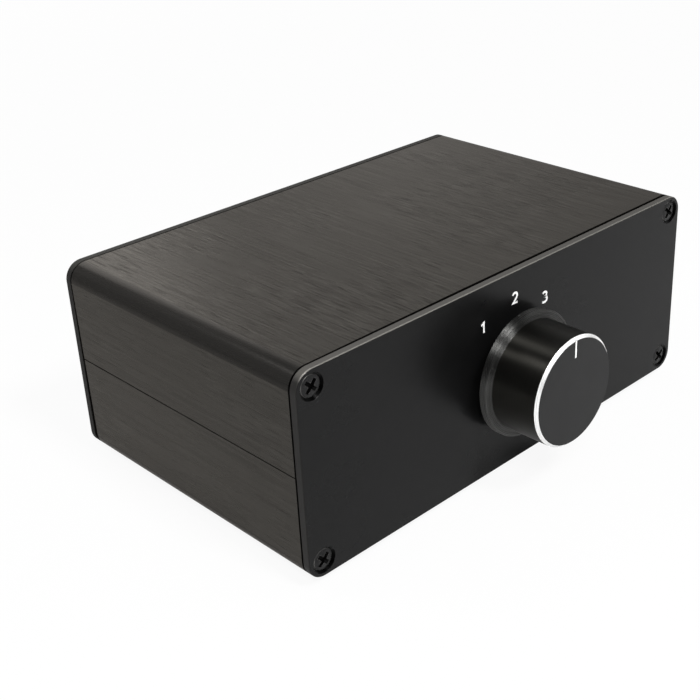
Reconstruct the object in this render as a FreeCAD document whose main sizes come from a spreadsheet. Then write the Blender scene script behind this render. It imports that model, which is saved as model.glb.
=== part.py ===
import FreeCAD, Part
import math
import os
import Sketcher

# Audio selector with a three-way rotary switch and eight three-pin sockets.
# Millimetres. +Z up, +X to the right and -Y towards the person who turns the knob.
# The origin lies on the plane that the feet stand on, under the middle of the whole outline,
# which runs from the knob's face to the release tabs at the rear.

DRIVING_SIZES = [
    ("casing_width", 165.0, "over the side walls"),
    ("casing_depth", 104.0, "over the front and rear panels"),
    ("casing_height", 62.5, "without the feet"),
    ("corner_radius", 5.5, "long edges of the casing"),
    ("shell_wall", 2.0, "wall of the extruded shells"),
    ("panel_thickness", 2.5, "front and rear panels"),
    ("edge_break", 0.25, "small chamfer on panel and seam edges"),
    ("seam_height", 31.9, "side seam above the underside"),
    ("lip_height", 1.6, "tongue of the bottom shell inside the top one"),
    ("lip_wall", 1.0, "thickness of that tongue"),
    ("lip_play", 0.1, "clearance round the tongue"),
    ("port_inset_side", 5.3, "screw port from the side wall's outside"),
    ("port_inset_end", 5.0, "screw port from the top or the underside"),
    ("port_radius", 3.5, "outside of a screw port"),
    ("rib_reach", 1.6, "board guide rib"),
    ("rib_thickness", 1.2, "board guide rib"),
    ("rib_gap", 2.0, "slot between two guide ribs"),
    ("rib_height", 14.0, "lower guide rib above or below the shell's face"),
    ("foot_radius", 6.0, "rubber foot"),
    ("foot_height", 2.5, "rubber foot"),
    ("foot_taper", 0.6, "how much narrower a foot is at the bottom"),
    ("foot_inset_side", 16.0, "foot centre from the side"),
    ("foot_inset_end", 14.0, "foot centre from the front or the rear"),
    ("recess_radius", 3.95, "countersunk recess at a panel's face"),
    ("screw_head_radius", 3.4, "casing screw"),
    ("screw_radius", 1.5, "casing screw"),
    ("screw_length", 10.0, "casing screw"),
    ("screw_play", 0.08, "clearance round a screw"),
    ("cross_length", 3.7, "cross recess, end to end"),
    ("cross_width", 0.8, "cross recess"),
    ("cross_depth", 1.1, "cross recess"),
    ("spindle_height", 31.7, "knob axis above the underside"),
    ("shaft_radius", 3.0, "switch shaft"),
    ("shaft_play", 0.05, "radial running clearance of the shaft"),
    ("shaft_flat", 1.0, "depth of the flat under the knob's grub screw"),
    ("bushing_radius", 4.5, "threaded bushing of the switch"),
    ("bushing_play", 0.1, "clearance of the bushing in the panel"),
    ("bushing_stand", 2.9, "bushing in front of the panel"),
    ("washer_thickness", 0.5, "washer under the panel nut"),
    ("washer_radius", 7.0, "washer under the panel nut"),
    ("nut_thickness", 2.0, "panel nut"),
    ("nut_across_flats", 12.0, "panel nut"),
    ("knob_gap", 3.4, "panel to the back of the knob"),
    ("knob_reach", 22.2, "panel to the front of the knob"),
    ("knob_radius", 17.0, "knob barrel"),
    ("knob_chamfer", 0.85, "bright ring round the knob's face"),
    ("skirt_radius", 19.5, "knob skirt"),
    ("skirt_thickness", 2.6, "knob skirt"),
    ("skirt_groove", 0.25, "depth of the turned grooves in the skirt"),
    ("shaft_in_knob", 13.0, "length of the shaft inside the knob"),
    ("pointer_width", 0.9, "inlaid line on the knob's face"),
    ("pointer_length", 5.3, "inlaid line on the knob's face"),
    ("pointer_depth", 0.4, "inlaid line on the knob's face"),
    ("grub_radius", 1.5, "grub screw in the knob"),
    ("grub_length", 6.0, "grub screw in the knob"),
    ("step_angle", 36.0, "turn from one position to the next, in degrees"),
    ("cover_width", 30.0, "front plate of the switch"),
    ("cover_height", 28.0, "front plate of the switch"),
    ("cover_thickness", 1.8, "front plate of the switch"),
    ("peg_radius", 1.2, "locating peg of the switch"),
    ("peg_length", 1.6, "locating peg of the switch"),
    ("peg_offset", 11.0, "locating peg from the shaft"),
    ("deck_radius", 14.0, "switch housing and decks"),
    ("housing_length", 9.0, "detent housing"),
    ("housing_floor", 1.5, "rear wall of the detent housing"),
    ("tooth_radius", 10.4, "tips of the detent teeth"),
    ("arm_setback", 4.0, "stop arm behind the cover"),
    ("hub_wall", 3.0, "wall of the carrier's hub"),
    ("well_wall", 1.0, "hub wall under a detent spring"),
    ("floor_play", 0.3, "clearance round the shaft in the housing's floor"),
    ("notch_depth", 0.5, "detent notch"),
    ("ball_radius", 1.5, "detent ball"),
    ("running_gap", 0.05, "small clearance between moving faces"),
    ("stop_width", 3.0, "stop arm and stop lugs"),
    ("deck_length", 6.0, "one switch deck"),
    ("rotor_radius", 8.8, "insulating rotor of a deck"),
    ("rotor_setback", 1.5, "rotor behind its stator's front"),
    ("rotor_play", 0.2, "clearance round a rotor"),
    ("stator_lip", 2.5, "stator in front of the rotor's rim"),
    ("blade_overlap", 1.2, "contact blades over the rotor's rim"),
    ("wiper_inset", 1.2, "wiper ring from the shaft"),
    ("common_inset", 2.0, "tips of the common blades from the shaft"),
    ("tie_radius", 1.0, "tie screws through the decks"),
    ("tie_circle", 12.2, "tie screws from the shaft"),
    ("blade_width", 1.6, "fixed contact of a deck"),
    ("blade_thickness", 0.4, "fixed contacts and wipers"),
    ("pin_side", 0.8, "terminal pin of a deck"),
    ("board_thickness", 1.6, "circuit boards"),
    ("board_stand", 2.7, "switch board behind the last deck"),
    ("shaft_stop", 1.0, "end of the shaft in front of the switch board"),
    ("switch_board_width", 46.0, "switch board"),
    ("switch_board_height", 40.0, "switch board"),
    ("header_base", 2.5, "ribbon header"),
    ("header_width", 38.0, "ribbon header and plug"),
    ("header_height", 8.0, "ribbon header and plug"),
    ("ribbon_plug_length", 7.5, "ribbon plug"),
    ("ribbon_width", 33.0, "ribbon cable"),
    ("ribbon_thickness", 1.0, "ribbon cable"),
    ("ribbon_bend", 6.0, "radius of the ribbon's bends"),
    ("ribbon_rise", 2.0, "ribbon above its plugs before the bend"),
    ("plug_floor", 1.0, "floor of a plug under the ribbon"),
    ("column_inset", 10.5, "casing's side to the outer column's share of the rear panel"),
    ("socket_margin", 2.75, "sockets from the shells' inside, above and below"),
    ("socket_gap", 1.0, "between two rows of sockets"),
    ("socket_standard", 26.0, "socket body that the sizes across a socket are given for"),
    ("socket_depth", 20.5, "moulded socket body behind the panel"),
    ("socket_wall", 2.3, "walls round the socket's rear pocket"),
    ("nose_radius", 11.7, "round nose of a socket"),
    ("nose_play", 0.3, "clearance round the nose in the panel"),
    ("nose_stand", 0.8, "nose in front of the panel"),
    ("cup_radius", 9.7, "opening of an input socket"),
    ("bore_radius", 8.1, "opening of an output socket"),
    ("cup_depth", 13.5, "opening of a socket from the nose's face"),
    ("insert_seat", 5.0, "length of an insert's collar"),
    ("insert_play", 0.05, "clearance of an insert in its socket"),
    ("post_radius", 7.95, "post of an input insert"),
    ("post_recess", 1.0, "post below the nose's face"),
    ("pin_circle", 4.03, "pins from the socket's axis"),
    ("pin_radius", 1.2, "output pin"),
    ("pin_recess", 2.7, "output pin below the nose's face"),
    ("sleeve_radius", 1.75, "outside of an input contact sleeve"),
    ("sleeve_recess", 1.0, "input contact sleeve below the post's face"),
    ("tail_length", 1.0, "contact tails behind the socket board"),
    ("lobe_width", 11.0, "top lobe of an input socket"),
    ("lobe_reach", 12.9, "top lobe from the socket's axis"),
    ("slot_width", 9.0, "slot for the release tab"),
    ("slot_reach", 12.3, "slot for the release tab from the axis"),
    ("slot_depth", 8.0, "slot for the release tab behind the panel"),
    ("tab_play", 0.15, "clearance round the release tab"),
    ("tab_stand", 1.2, "release tab in front of the nose"),
    ("tab_travel", 1.6, "how far a release tab slides"),
    ("tab_inset", 10.0, "underside of the release tab from the axis"),
    ("latch_reach", 9.0, "latch nose from the axis"),
    ("latch_length", 1.8, "latch nose along the axis"),
    ("key_width", 5.2, "key slot of an output socket"),
    ("key_height", 1.2, "key slot of an output socket"),
    ("key_depth", 8.0, "key slot of an output socket"),
    ("socket_screw_offset", 10.6, "socket screws from the axis, both ways"),
    ("socket_screw_radius", 1.2, "socket screw"),
    ("socket_screw_length", 9.0, "socket screw under its head"),
    ("socket_head_radius", 2.4, "socket screw head"),
    ("socket_head_height", 1.5, "socket screw head"),
    ("board_margin", 14.0, "socket board inside the shells, at each side"),
]

COLUMNS = 4
ROWS = 2
NOTCHES = 10
SKIRT_GROOVES = 3
POLES_PER_DECK = 2
THROWS = (-1, 0, 1)
COMMON_STEP = 2
WIPER_BEHIND = 35.0
WIPER_AHEAD = 110.0
STOP_SLACK = 0.5
CONTACT_ANGLES = (90.0, 210.0, 330.0)

# Shares of the size beside them.
SPRING_OUTSIDE = 0.8
SPRING_INSIDE = 0.5
SCREW_POINT = 0.6
CLIP_MOUTH = 0.8
TIE_HEAD = 1.8
PIN_PASSAGE = 1.6
PAN_HEAD_CROWN = 0.7
SMALL_CROSS_ARM = 0.35

doc = FreeCAD.newDocument("AudioSelector")
sheet = doc.addObject("Spreadsheet::Sheet", "Sizes")
nodes = []


class Length:
    """A size that carries its formula in the sheet beside its present value."""

    def __init__(self, formula, value):
        self.formula = formula
        self.value = value

    @staticmethod
    def of(other):
        if isinstance(other, Length):
            return other
        return Length(f"({other:.9f})", other)

    def combined(self, other, sign, value):
        return Length(f"({self.formula} {sign} {other.formula})", value)

    def __add__(self, other):
        other = Length.of(other)
        return self.combined(other, "+", self.value + other.value)

    def __sub__(self, other):
        other = Length.of(other)
        return self.combined(other, "-", self.value - other.value)

    def __mul__(self, other):
        other = Length.of(other)
        return self.combined(other, "*", self.value * other.value)

    def __truediv__(self, other):
        other = Length.of(other)
        return self.combined(other, "/", self.value / other.value)

    def __radd__(self, other):
        return Length.of(other) + self

    def __rsub__(self, other):
        return Length.of(other) - self

    def __rmul__(self, other):
        return Length.of(other) * self

    def __neg__(self):
        return 0.0 - self


class Sizes:
    """The driving sizes, by name."""


size = Sizes()
for row, (alias, number, note) in enumerate(DRIVING_SIZES, start=1):
    sheet.set(f"A{row}", alias)
    sheet.set(f"B{row}", str(number))
    sheet.set(f"C{row}", note)
    sheet.setAlias(f"B{row}", alias)
    setattr(size, alias, Length(f"Sizes.{alias}", number))
doc.recompute()

# Planes and axes that several pieces share.
half_width = size.casing_width / 2
underside = size.foot_height
seam = underside + size.seam_height
top = underside + size.casing_height
rear_reach = size.nose_stand + size.tab_stand
casing_middle = (size.knob_reach - rear_reach) / 2
front_face = casing_middle - size.casing_depth / 2
rear_face = casing_middle + size.casing_depth / 2
front_inside = front_face + size.panel_thickness
rear_inside = rear_face - size.panel_thickness
spindle = underside + size.spindle_height
middle = underside + size.casing_height / 2
screw_sink = size.recess_radius - size.screw_head_radius
port_x = half_width - size.port_inset_side
port_low = underside + size.port_inset_end
port_high = top - size.port_inset_end


def bind(thing, prop, amount):
    """Ties one property to the sheet, or sets it where it is a plain number."""
    thing.setExpression(prop, Length.of(amount).formula)


def place(thing, x=0.0, y=0.0, z=0.0, axis=None, angle=0.0):
    """Gives a piece its place, and a turn about one axis."""
    x, y, z = Length.of(x), Length.of(y), Length.of(z)
    turn = FreeCAD.Rotation(axis or FreeCAD.Vector(0, 0, 1), angle)
    thing.Placement = FreeCAD.Placement(FreeCAD.Vector(x.value, y.value, z.value), turn)
    for letter, amount in zip("xyz", (x, y, z)):
        bind(thing, f"Placement.Base.{letter}", amount)
    return thing


def node(thing, label):
    """Names a finished piece and keeps it for export."""
    thing.Label = label
    nodes.append(thing)
    return thing


# Sketched pieces.

def new_body(name, x=0.0, y=0.0, z=0.0):
    return place(doc.addObject("PartDesign::Body", name), x, y, z)


def circle(x, y, radius):
    return ("circle", x, y, radius)


def rectangle(low_x, high_x, low_y, high_y):
    return [(low_x, low_y), (high_x, low_y), (high_x, high_y), (low_x, high_y)]


def pin_down(sketch, geometry, corner, x, y):
    """Holds one point of a sketch at a place given from the sketch's origin."""
    for kind, amount, line in (("DistanceX", x, -2), ("DistanceY", y, -1)):
        amount = Length.of(amount)
        if abs(amount.value) < 1e-9:
            sketch.addConstraint(Sketcher.Constraint("PointOnObject", geometry, corner, line))
            continue
        index = sketch.addConstraint(
            Sketcher.Constraint(kind, -1, 1, geometry, corner, amount.value))
        sketch.setExpression(f"Constraints[{index}]", amount.formula)


def draw_circle(sketch, x, y, radius):
    x, y, radius = Length.of(x), Length.of(y), Length.of(radius)
    centre = FreeCAD.Vector(x.value, y.value, 0)
    arc = sketch.addGeometry(Part.Circle(centre, FreeCAD.Vector(0, 0, 1), radius.value), False)
    index = sketch.addConstraint(Sketcher.Constraint("Radius", arc, radius.value))
    sketch.setExpression(f"Constraints[{index}]", radius.formula)
    pin_down(sketch, arc, 3, x, y)


def draw_polygon(sketch, corners):
    corners = [(Length.of(x), Length.of(y)) for x, y in corners]
    count = len(corners)
    spots = [FreeCAD.Vector(x.value, y.value, 0) for x, y in corners]
    lines = [sketch.addGeometry(Part.LineSegment(spots[k], spots[(k + 1) % count]), False)
             for k in range(count)]
    for k in range(count):
        sketch.addConstraint(
            Sketcher.Constraint("Coincident", lines[k], 2, lines[(k + 1) % count], 1))
    for line, (x, y) in zip(lines, corners):
        pin_down(sketch, line, 1, x, y)


def draw(body, plane, shapes, offset=0.0):
    """A sketch on one of the body's own planes, offset along the plane's normal."""
    sketch = body.newObject("Sketcher::SketchObject", body.Name + "_sketch")
    origin = next(item for item in body.Origin.OriginFeatures if item.Role == plane)
    sketch.AttachmentSupport = [(origin, "")]
    sketch.MapMode = "FlatFace"
    bind(sketch, "AttachmentOffset.Base.z", offset)
    for shape in shapes:
        if shape[0] == "circle":
            draw_circle(sketch, *shape[1:])
        else:
            draw_polygon(sketch, shape)
    return sketch


def grow(body, kind, sketch, length, backwards=False):
    """Pad or Pocket of a sketch."""
    feature = body.newObject("PartDesign::" + kind, f"{body.Name}_{kind.lower()}")
    feature.Profile = sketch
    feature.Length = Length.of(length).value
    bind(feature, "Length", length)
    feature.Reversed = backwards
    return feature


def pad_y(body, shapes, low, high):
    """Adds material whose outline is seen from the front, from low to high along Y."""
    sketch = draw(body, "XZ_Plane", shapes, -Length.of(low))
    return grow(body, "Pad", sketch, high - Length.of(low), backwards=True)


def pocket_y(body, shapes, low, high):
    """Cuts an outline seen from the front, from low to high along Y."""
    sketch = draw(body, "XZ_Plane", shapes, -Length.of(low))
    return grow(body, "Pocket", sketch, high - Length.of(low))


def turn_profile(body, kind, profile, plane="XY_Plane"):
    """Revolution or Groove about the plane's vertical axis; a corner is (radius, height)."""
    sketch = draw(body, plane, [profile])
    feature = body.newObject("PartDesign::" + kind, f"{body.Name}_{kind.lower()}")
    feature.Profile = sketch
    feature.ReferenceAxis = (sketch, ["V_Axis"])
    feature.Angle = 360.0
    return feature


def dress(body, kind, prop, amount, wanted):
    """Fillet or Chamfer on the edges of the body's tip that the test accepts."""
    doc.recompute()
    tip = body.Tip
    edges = [f"Edge{k}" for k, edge in enumerate(tip.Shape.Edges, start=1) if wanted(edge)]
    if not edges:
        raise RuntimeError(f"{body.Name}: no edge for {kind}")
    feature = body.newObject("PartDesign::" + kind, f"{body.Name}_{kind.lower()}")
    feature.Base = (tip, edges)
    bind(feature, prop, amount)
    return feature


def polar(body, feature, count):
    """Repeats a feature round the Y axis of its own body."""
    doc.recompute()
    pattern = body.newObject("PartDesign::PolarPattern", body.Name + "_pattern")
    pattern.Originals = [feature]
    axis = next(item for item in body.Origin.OriginFeatures if item.Role == "Y_Axis")
    pattern.Axis = (axis, [""])
    pattern.Angle = 360.0
    pattern.Occurrences = count
    body.Tip = pattern
    return pattern


def runs_along_y(edge):
    box = edge.BoundBox
    return box.YLength > 0.5 and box.XLength < 1e-6 and box.ZLength < 1e-6


def at_corner(edge, x, z):
    """Whether an edge along Y stands at a given distance from the body's axis."""
    if not runs_along_y(edge):
        return False
    box = edge.BoundBox
    return abs(abs(box.XMin) - x) < 1e-4 and abs(box.ZMin - z) < 1e-4


# Pieces put together from simple solids, placed where they stand.

def block(x, y, z):
    """A box between two places along each axis."""
    made = doc.addObject("Part::Box", "Block")
    for prop, (low, high) in zip(("Length", "Width", "Height"), (x, y, z)):
        bind(made, prop, Length.of(high) - low)
    return place(made, x[0], y[0], z[0])


def rod(axis, across, span, radius):
    """A cylinder along one axis; across gives its centre on the other two, in X, Y, Z order."""
    made = doc.addObject("Part::Cylinder", "Rod")
    low, high = span
    bind(made, "Radius", radius)
    bind(made, "Height", Length.of(high) - low)
    first, second = across
    if axis == "x":
        return place(made, low, first, second, FreeCAD.Vector(0, 1, 0), 90)
    if axis == "y":
        return place(made, first, low, second, FreeCAD.Vector(1, 0, 0), -90)
    return place(made, first, second, low)


def fuse(pieces):
    made = doc.addObject("Part::MultiFuse", "Joined")
    made.Shapes = pieces
    return made


def cut(base, tools):
    made = doc.addObject("Part::Cut", "Cut")
    made.Base = base
    made.Tool = tools[0] if len(tools) == 1 else fuse(tools)
    return made


def group(pieces):
    made = doc.addObject("Part::Compound", "Group")
    made.Links = pieces
    return made


def copies(original, places):
    """The same loose piece at several places, as links to one original."""
    made = []
    for x, y, z, axis, angle in places:
        link = doc.addObject("App::Link", "Copy")
        link.LinkedObject = original
        made.append(place(link, x, y, z, axis, angle))
    return group(made)


# Casing.

def shell_outline(side, face, lip):
    """Half of the casing's section: side is the sign of the vertical step from the seam."""
    wall = size.shell_wall
    outer = half_width
    inner = half_width - wall
    step_x = inner + size.lip_wall + (0.0 if side < 0 else size.lip_play)
    return [
        (-outer, seam), (-outer, face), (outer, face), (outer, seam),
        (step_x, seam), (step_x, lip), (inner, lip), (inner, face - side * wall),
        (-inner, face - side * wall), (-inner, lip), (-step_x, lip), (-step_x, seam),
    ]


def make_shell(label, side):
    """Bottom shell for side -1 and top shell for side +1, extruded along Y."""
    face = top if side > 0 else underside
    lip = seam + size.lip_height + (size.lip_play if side > 0 else 0.0)
    port_z = port_high if side > 0 else port_low
    body = new_body(label)
    pad_y(body, [shell_outline(side, face, lip)], front_inside, rear_inside)
    inner_radius = size.corner_radius - size.shell_wall
    inner_x = half_width - size.shell_wall
    inner_z = face - side * size.shell_wall
    dress(body, "Fillet", "Radius", size.corner_radius,
          lambda edge: at_corner(edge, half_width.value, face.value))
    dress(body, "Fillet", "Radius", inner_radius,
          lambda edge: at_corner(edge, inner_x.value, inner_z.value))
    dress(body, "Chamfer", "Size", size.edge_break,
          lambda edge: at_corner(edge, half_width.value, seam.value))
    pad_y(body, [circle(-port_x, port_z, size.port_radius)], front_inside, rear_inside)
    pad_y(body, [circle(port_x, port_z, size.port_radius)], front_inside, rear_inside)
    rib_root = half_width - size.shell_wall / 2
    rib_tip = half_width - size.shell_wall - size.rib_reach
    near = face - side * size.rib_height
    far = near - side * (size.rib_gap + size.rib_thickness)
    for start in (near, far):
        stop = start - side * size.rib_thickness
        low, high = (stop, start) if side > 0 else (start, stop)
        for left, right in ((-rib_root, -rib_tip), (rib_tip, rib_root)):
            pad_y(body, [rectangle(left, right, low, high)], front_inside, rear_inside)
    thread = size.screw_radius + size.screw_play
    pocket_y(body, [circle(-port_x, port_z, thread), circle(port_x, port_z, thread)],
             front_inside, rear_inside)
    return node(body, label)


def perimeter(edge):
    """Outer rim of a panel: the edges whose every point lies on its rounded outline."""
    box = edge.BoundBox
    if box.YLength > 1e-6:
        return False
    reach_x = half_width.value
    low, high = underside.value, top.value
    flat = box.XLength < 1e-6 and abs(abs(box.XMin) - reach_x) < 1e-4
    level = box.ZLength < 1e-6 and min(abs(box.ZMin - low), abs(box.ZMin - high)) < 1e-4
    corner = (abs(box.XLength - size.corner_radius.value) < 1e-4
              and abs(box.ZLength - size.corner_radius.value) < 1e-4)
    return flat or level or corner


def make_panel(label, inside, outside, holes):
    """A flat end panel; holes are outlines cut right through it."""
    body = new_body(label)
    low, high = (outside, inside) if outside.value < inside.value else (inside, outside)
    pad_y(body, [rectangle(-half_width, half_width, underside, top)], low, high)
    dress(body, "Fillet", "Radius", size.corner_radius, runs_along_y)
    dress(body, "Chamfer", "Size", size.edge_break, perimeter)
    for outlines in holes:
        pocket_y(body, outlines, low, high)
    sign = 1.0 if outside.value > inside.value else -1.0
    throat = size.screw_radius + size.screw_play
    cone = size.recess_radius - throat
    for x in (-port_x, port_x):
        for z in (port_low, port_high):
            sketch = draw(body, "XY_Plane", [[
                (x, outside), (x + size.recess_radius, outside),
                (x + throat, outside - sign * cone), (x + throat, inside), (x, inside),
            ]], z)
            groove = body.newObject("PartDesign::Groove", label + "_recess")
            groove.Profile = sketch
            groove.ReferenceAxis = (sketch, ["Edge5"])
            groove.Angle = 360.0
            doc.recompute()
    return node(body, label)


def cross_outline():
    """Outline of a cross recess about the axis."""
    arm = size.cross_length / 2
    half = size.cross_width / 2
    return [
        (-half, -arm), (half, -arm), (half, -half), (arm, -half), (arm, half), (half, half),
        (half, arm), (-half, arm), (-half, half), (-arm, half), (-arm, -half), (-half, -half),
    ]


def make_casing_screw():
    """Countersunk screw, head at the origin and shank along +Y."""
    body = new_body("casing_screw")
    head, shank = size.screw_head_radius, size.screw_radius
    point = size.screw_radius * SCREW_POINT
    turn_profile(body, "Revolution", [
        (0.0, 0.0), (head, 0.0), (shank, head - shank), (shank, size.screw_length - point),
        (shank - point, size.screw_length), (0.0, size.screw_length),
    ])
    pocket_y(body, [cross_outline()], 0.0, size.cross_depth)
    return body


def make_casing_screws():
    screw = make_casing_screw()
    corners = [(x, z) for x in (-port_x, port_x) for z in (port_low, port_high)]
    ahead = FreeCAD.Vector(0, 0, 1)
    front = [(x, front_face + screw_sink, z, ahead, 0) for x, z in corners]
    rear = [(x, rear_face - screw_sink, z, ahead, 180) for x, z in corners]
    node(copies(screw, front), "front_panel_screws")
    node(copies(screw, rear), "rear_panel_screws")


def make_feet():
    foot = new_body("foot")
    bottom = size.foot_radius - size.foot_taper
    turn_profile(foot, "Revolution", [
        (0.0, 0.0), (bottom, 0.0), (size.foot_radius, size.foot_height), (0.0, size.foot_height),
    ], "XZ_Plane")
    across = half_width - size.foot_inset_side
    along = size.casing_depth / 2 - size.foot_inset_end
    up = FreeCAD.Vector(0, 0, 1)
    places = [(x, casing_middle + y, 0.0, up, 0)
              for x in (-across, across) for y in (-along, along)]
    node(copies(foot, places), "rubber_feet")


# Selector knob and the front of the switch.

knob_back = front_face - size.knob_gap
knob_front = front_face - size.knob_reach
skirt_front = knob_back - size.skirt_thickness
shaft_tip = knob_back - size.shaft_in_knob


def make_knob():
    """Turned knob: grooved skirt, plain barrel and a bright chamfer round its face."""
    body = new_body("selector_knob", 0.0, 0.0, spindle)
    bore = size.shaft_radius + size.shaft_play
    pitch = size.skirt_thickness / (SKIRT_GROOVES + 1)
    skirt = [(size.skirt_radius - size.edge_break, knob_back),
             (size.skirt_radius, knob_back - size.edge_break)]
    for ring in range(1, SKIRT_GROOVES + 1):
        centre = knob_back - pitch * ring
        skirt += [(size.skirt_radius, centre + size.skirt_groove / 2),
                  (size.skirt_radius - size.skirt_groove, centre),
                  (size.skirt_radius, centre - size.skirt_groove / 2)]
    skirt += [(size.skirt_radius, skirt_front + size.edge_break),
              (size.skirt_radius - size.edge_break, skirt_front)]
    turn_profile(body, "Revolution", [
        (0.0, knob_front), (0.0, shaft_tip - size.shaft_play), (bore, shaft_tip - size.shaft_play),
        (bore, knob_back),
    ] + skirt + [
        (size.knob_radius, skirt_front), (size.knob_radius, knob_front + size.knob_chamfer),
        (size.knob_radius - size.knob_chamfer, knob_front),
    ])
    line_top = size.knob_radius - size.knob_chamfer
    half = size.pointer_width / 2
    pocket_y(body, [rectangle(-half, half, line_top - size.pointer_length, line_top)],
             knob_front, knob_front + size.pointer_depth)
    grub_y = knob_back - size.shaft_in_knob / 2
    grub_hole = draw(body, "XY_Plane", [circle(0.0, grub_y, size.grub_radius + size.screw_play)],
                     -size.shaft_radius / 2)
    grow(body, "Pocket", grub_hole, size.skirt_radius)
    node(body, "selector_knob")

    pointer = block((-half, half), (knob_front, knob_front + size.pointer_depth),
                    (spindle + line_top - size.pointer_length, spindle + line_top))
    node(pointer, "knob_pointer_line")

    grub_top = spindle - size.shaft_radius + size.shaft_flat
    grub = new_body("grub_screw", 0.0, grub_y, grub_top - size.grub_length)
    turn_profile(grub, "Revolution", [
        (0.0, 0.0), (size.grub_radius, 0.0), (size.grub_radius, size.grub_length),
        (0.0, size.grub_length),
    ], "XZ_Plane")
    socket = draw(grub, "XY_Plane", [hexagon(size.grub_radius)])
    grow(grub, "Pocket", socket, size.grub_length / 3, backwards=True)
    node(grub, "knob_grub_screw")


def hexagon(across_flats, x=0.0, y=0.0):
    """Six corners of a hexagon with flats above and below."""
    radius = across_flats / math.sqrt(3.0)
    return [(x + radius * math.cos(math.radians(60 * k)), y + radius * math.sin(math.radians(60 * k)))
            for k in range(6)]


cover_rear = front_inside + size.cover_thickness
housing_rear = cover_rear + size.housing_length
decks_rear = housing_rear + 2 * size.deck_length
shaft_end = decks_rear + size.board_stand - size.shaft_stop
board_front = decks_rear + size.board_stand
board_rear = board_front + size.board_thickness


def make_shaft():
    """Switch shaft with its flat under the knob and a groove for the retaining clip."""
    body = new_body("switch_shaft", 0.0, 0.0, spindle)
    clip_front = decks_rear + size.blade_thickness
    clip_rear = clip_front + size.blade_thickness
    groove = size.shaft_radius - size.blade_thickness
    edge = size.edge_break
    turn_profile(body, "Revolution", [
        (0.0, shaft_tip), (size.shaft_radius - edge, shaft_tip), (size.shaft_radius, shaft_tip + edge),
        (size.shaft_radius, clip_front), (groove, clip_front), (groove, clip_rear),
        (size.shaft_radius, clip_rear), (size.shaft_radius, shaft_end), (0.0, shaft_end),
    ])
    reach = size.shaft_radius
    pocket_y(body, [rectangle(-reach, reach, -reach, size.shaft_flat - reach)],
             shaft_tip, knob_back)
    node(body, "switch_shaft")

    clip = new_body("shaft_clip", 0.0, 0.0, spindle)
    outer = size.shaft_radius + 3 * size.blade_thickness
    pad_y(clip, [circle(0.0, 0.0, outer), circle(0.0, 0.0, groove + size.running_gap)],
          clip_front, clip_rear)
    mouth = groove * CLIP_MOUTH
    pocket_y(clip, [rectangle(-mouth, mouth, -2 * outer, 0.0)], clip_front, clip_rear)
    node(clip, "shaft_clip")


def make_switch_cover():
    """Front plate of the switch with its bushing and locating peg."""
    body = new_body("switch_cover", 0.0, 0.0, spindle)
    half_x = size.cover_width / 2
    half_z = size.cover_height / 2
    bushing_front = front_face - size.bushing_stand
    pad_y(body, [rectangle(-half_x, half_x, -half_z, half_z)], front_inside, cover_rear)
    dress(body, "Fillet", "Radius", size.cover_thickness, runs_along_y)
    edge = size.edge_break
    turn_profile(body, "Revolution", [
        (0.0, cover_rear), (0.0, bushing_front), (size.bushing_radius - edge, bushing_front),
        (size.bushing_radius, bushing_front + edge), (size.bushing_radius, cover_rear),
    ])
    pad_y(body, [circle(-size.peg_offset, 0.0, size.peg_radius)],
          front_inside - size.peg_length, front_inside)
    pocket_y(body, [circle(0.0, 0.0, size.shaft_radius + size.shaft_play)],
             bushing_front, cover_rear)
    ties = [circle(x, z, size.tie_radius + size.screw_play) for x, z in tie_places()]
    pocket_y(body, ties, front_inside, cover_rear)
    node(body, "switch_cover")

    washer = new_body("panel_washer", 0.0, 0.0, spindle)
    hole = size.bushing_radius + size.bushing_play
    pad_y(washer, [circle(0.0, 0.0, size.washer_radius), circle(0.0, 0.0, hole)],
          front_face - size.washer_thickness, front_face)
    node(washer, "panel_washer")

    nut = new_body("panel_nut", 0.0, 0.0, spindle)
    nut_rear = front_face - size.washer_thickness
    pad_y(nut, [hexagon(size.nut_across_flats), circle(0.0, 0.0, size.bushing_radius + size.shaft_play)],
          nut_rear - size.nut_thickness, nut_rear)
    node(nut, "panel_nut")


def tie_places():
    """Two tie screws, half a step off the first contact."""
    angle = math.radians(size.step_angle.value / 2)
    x, z = size.tie_circle * math.cos(angle), size.tie_circle * math.sin(angle)
    return [(x, z), (-x, -z)]


# Detent.

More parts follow.
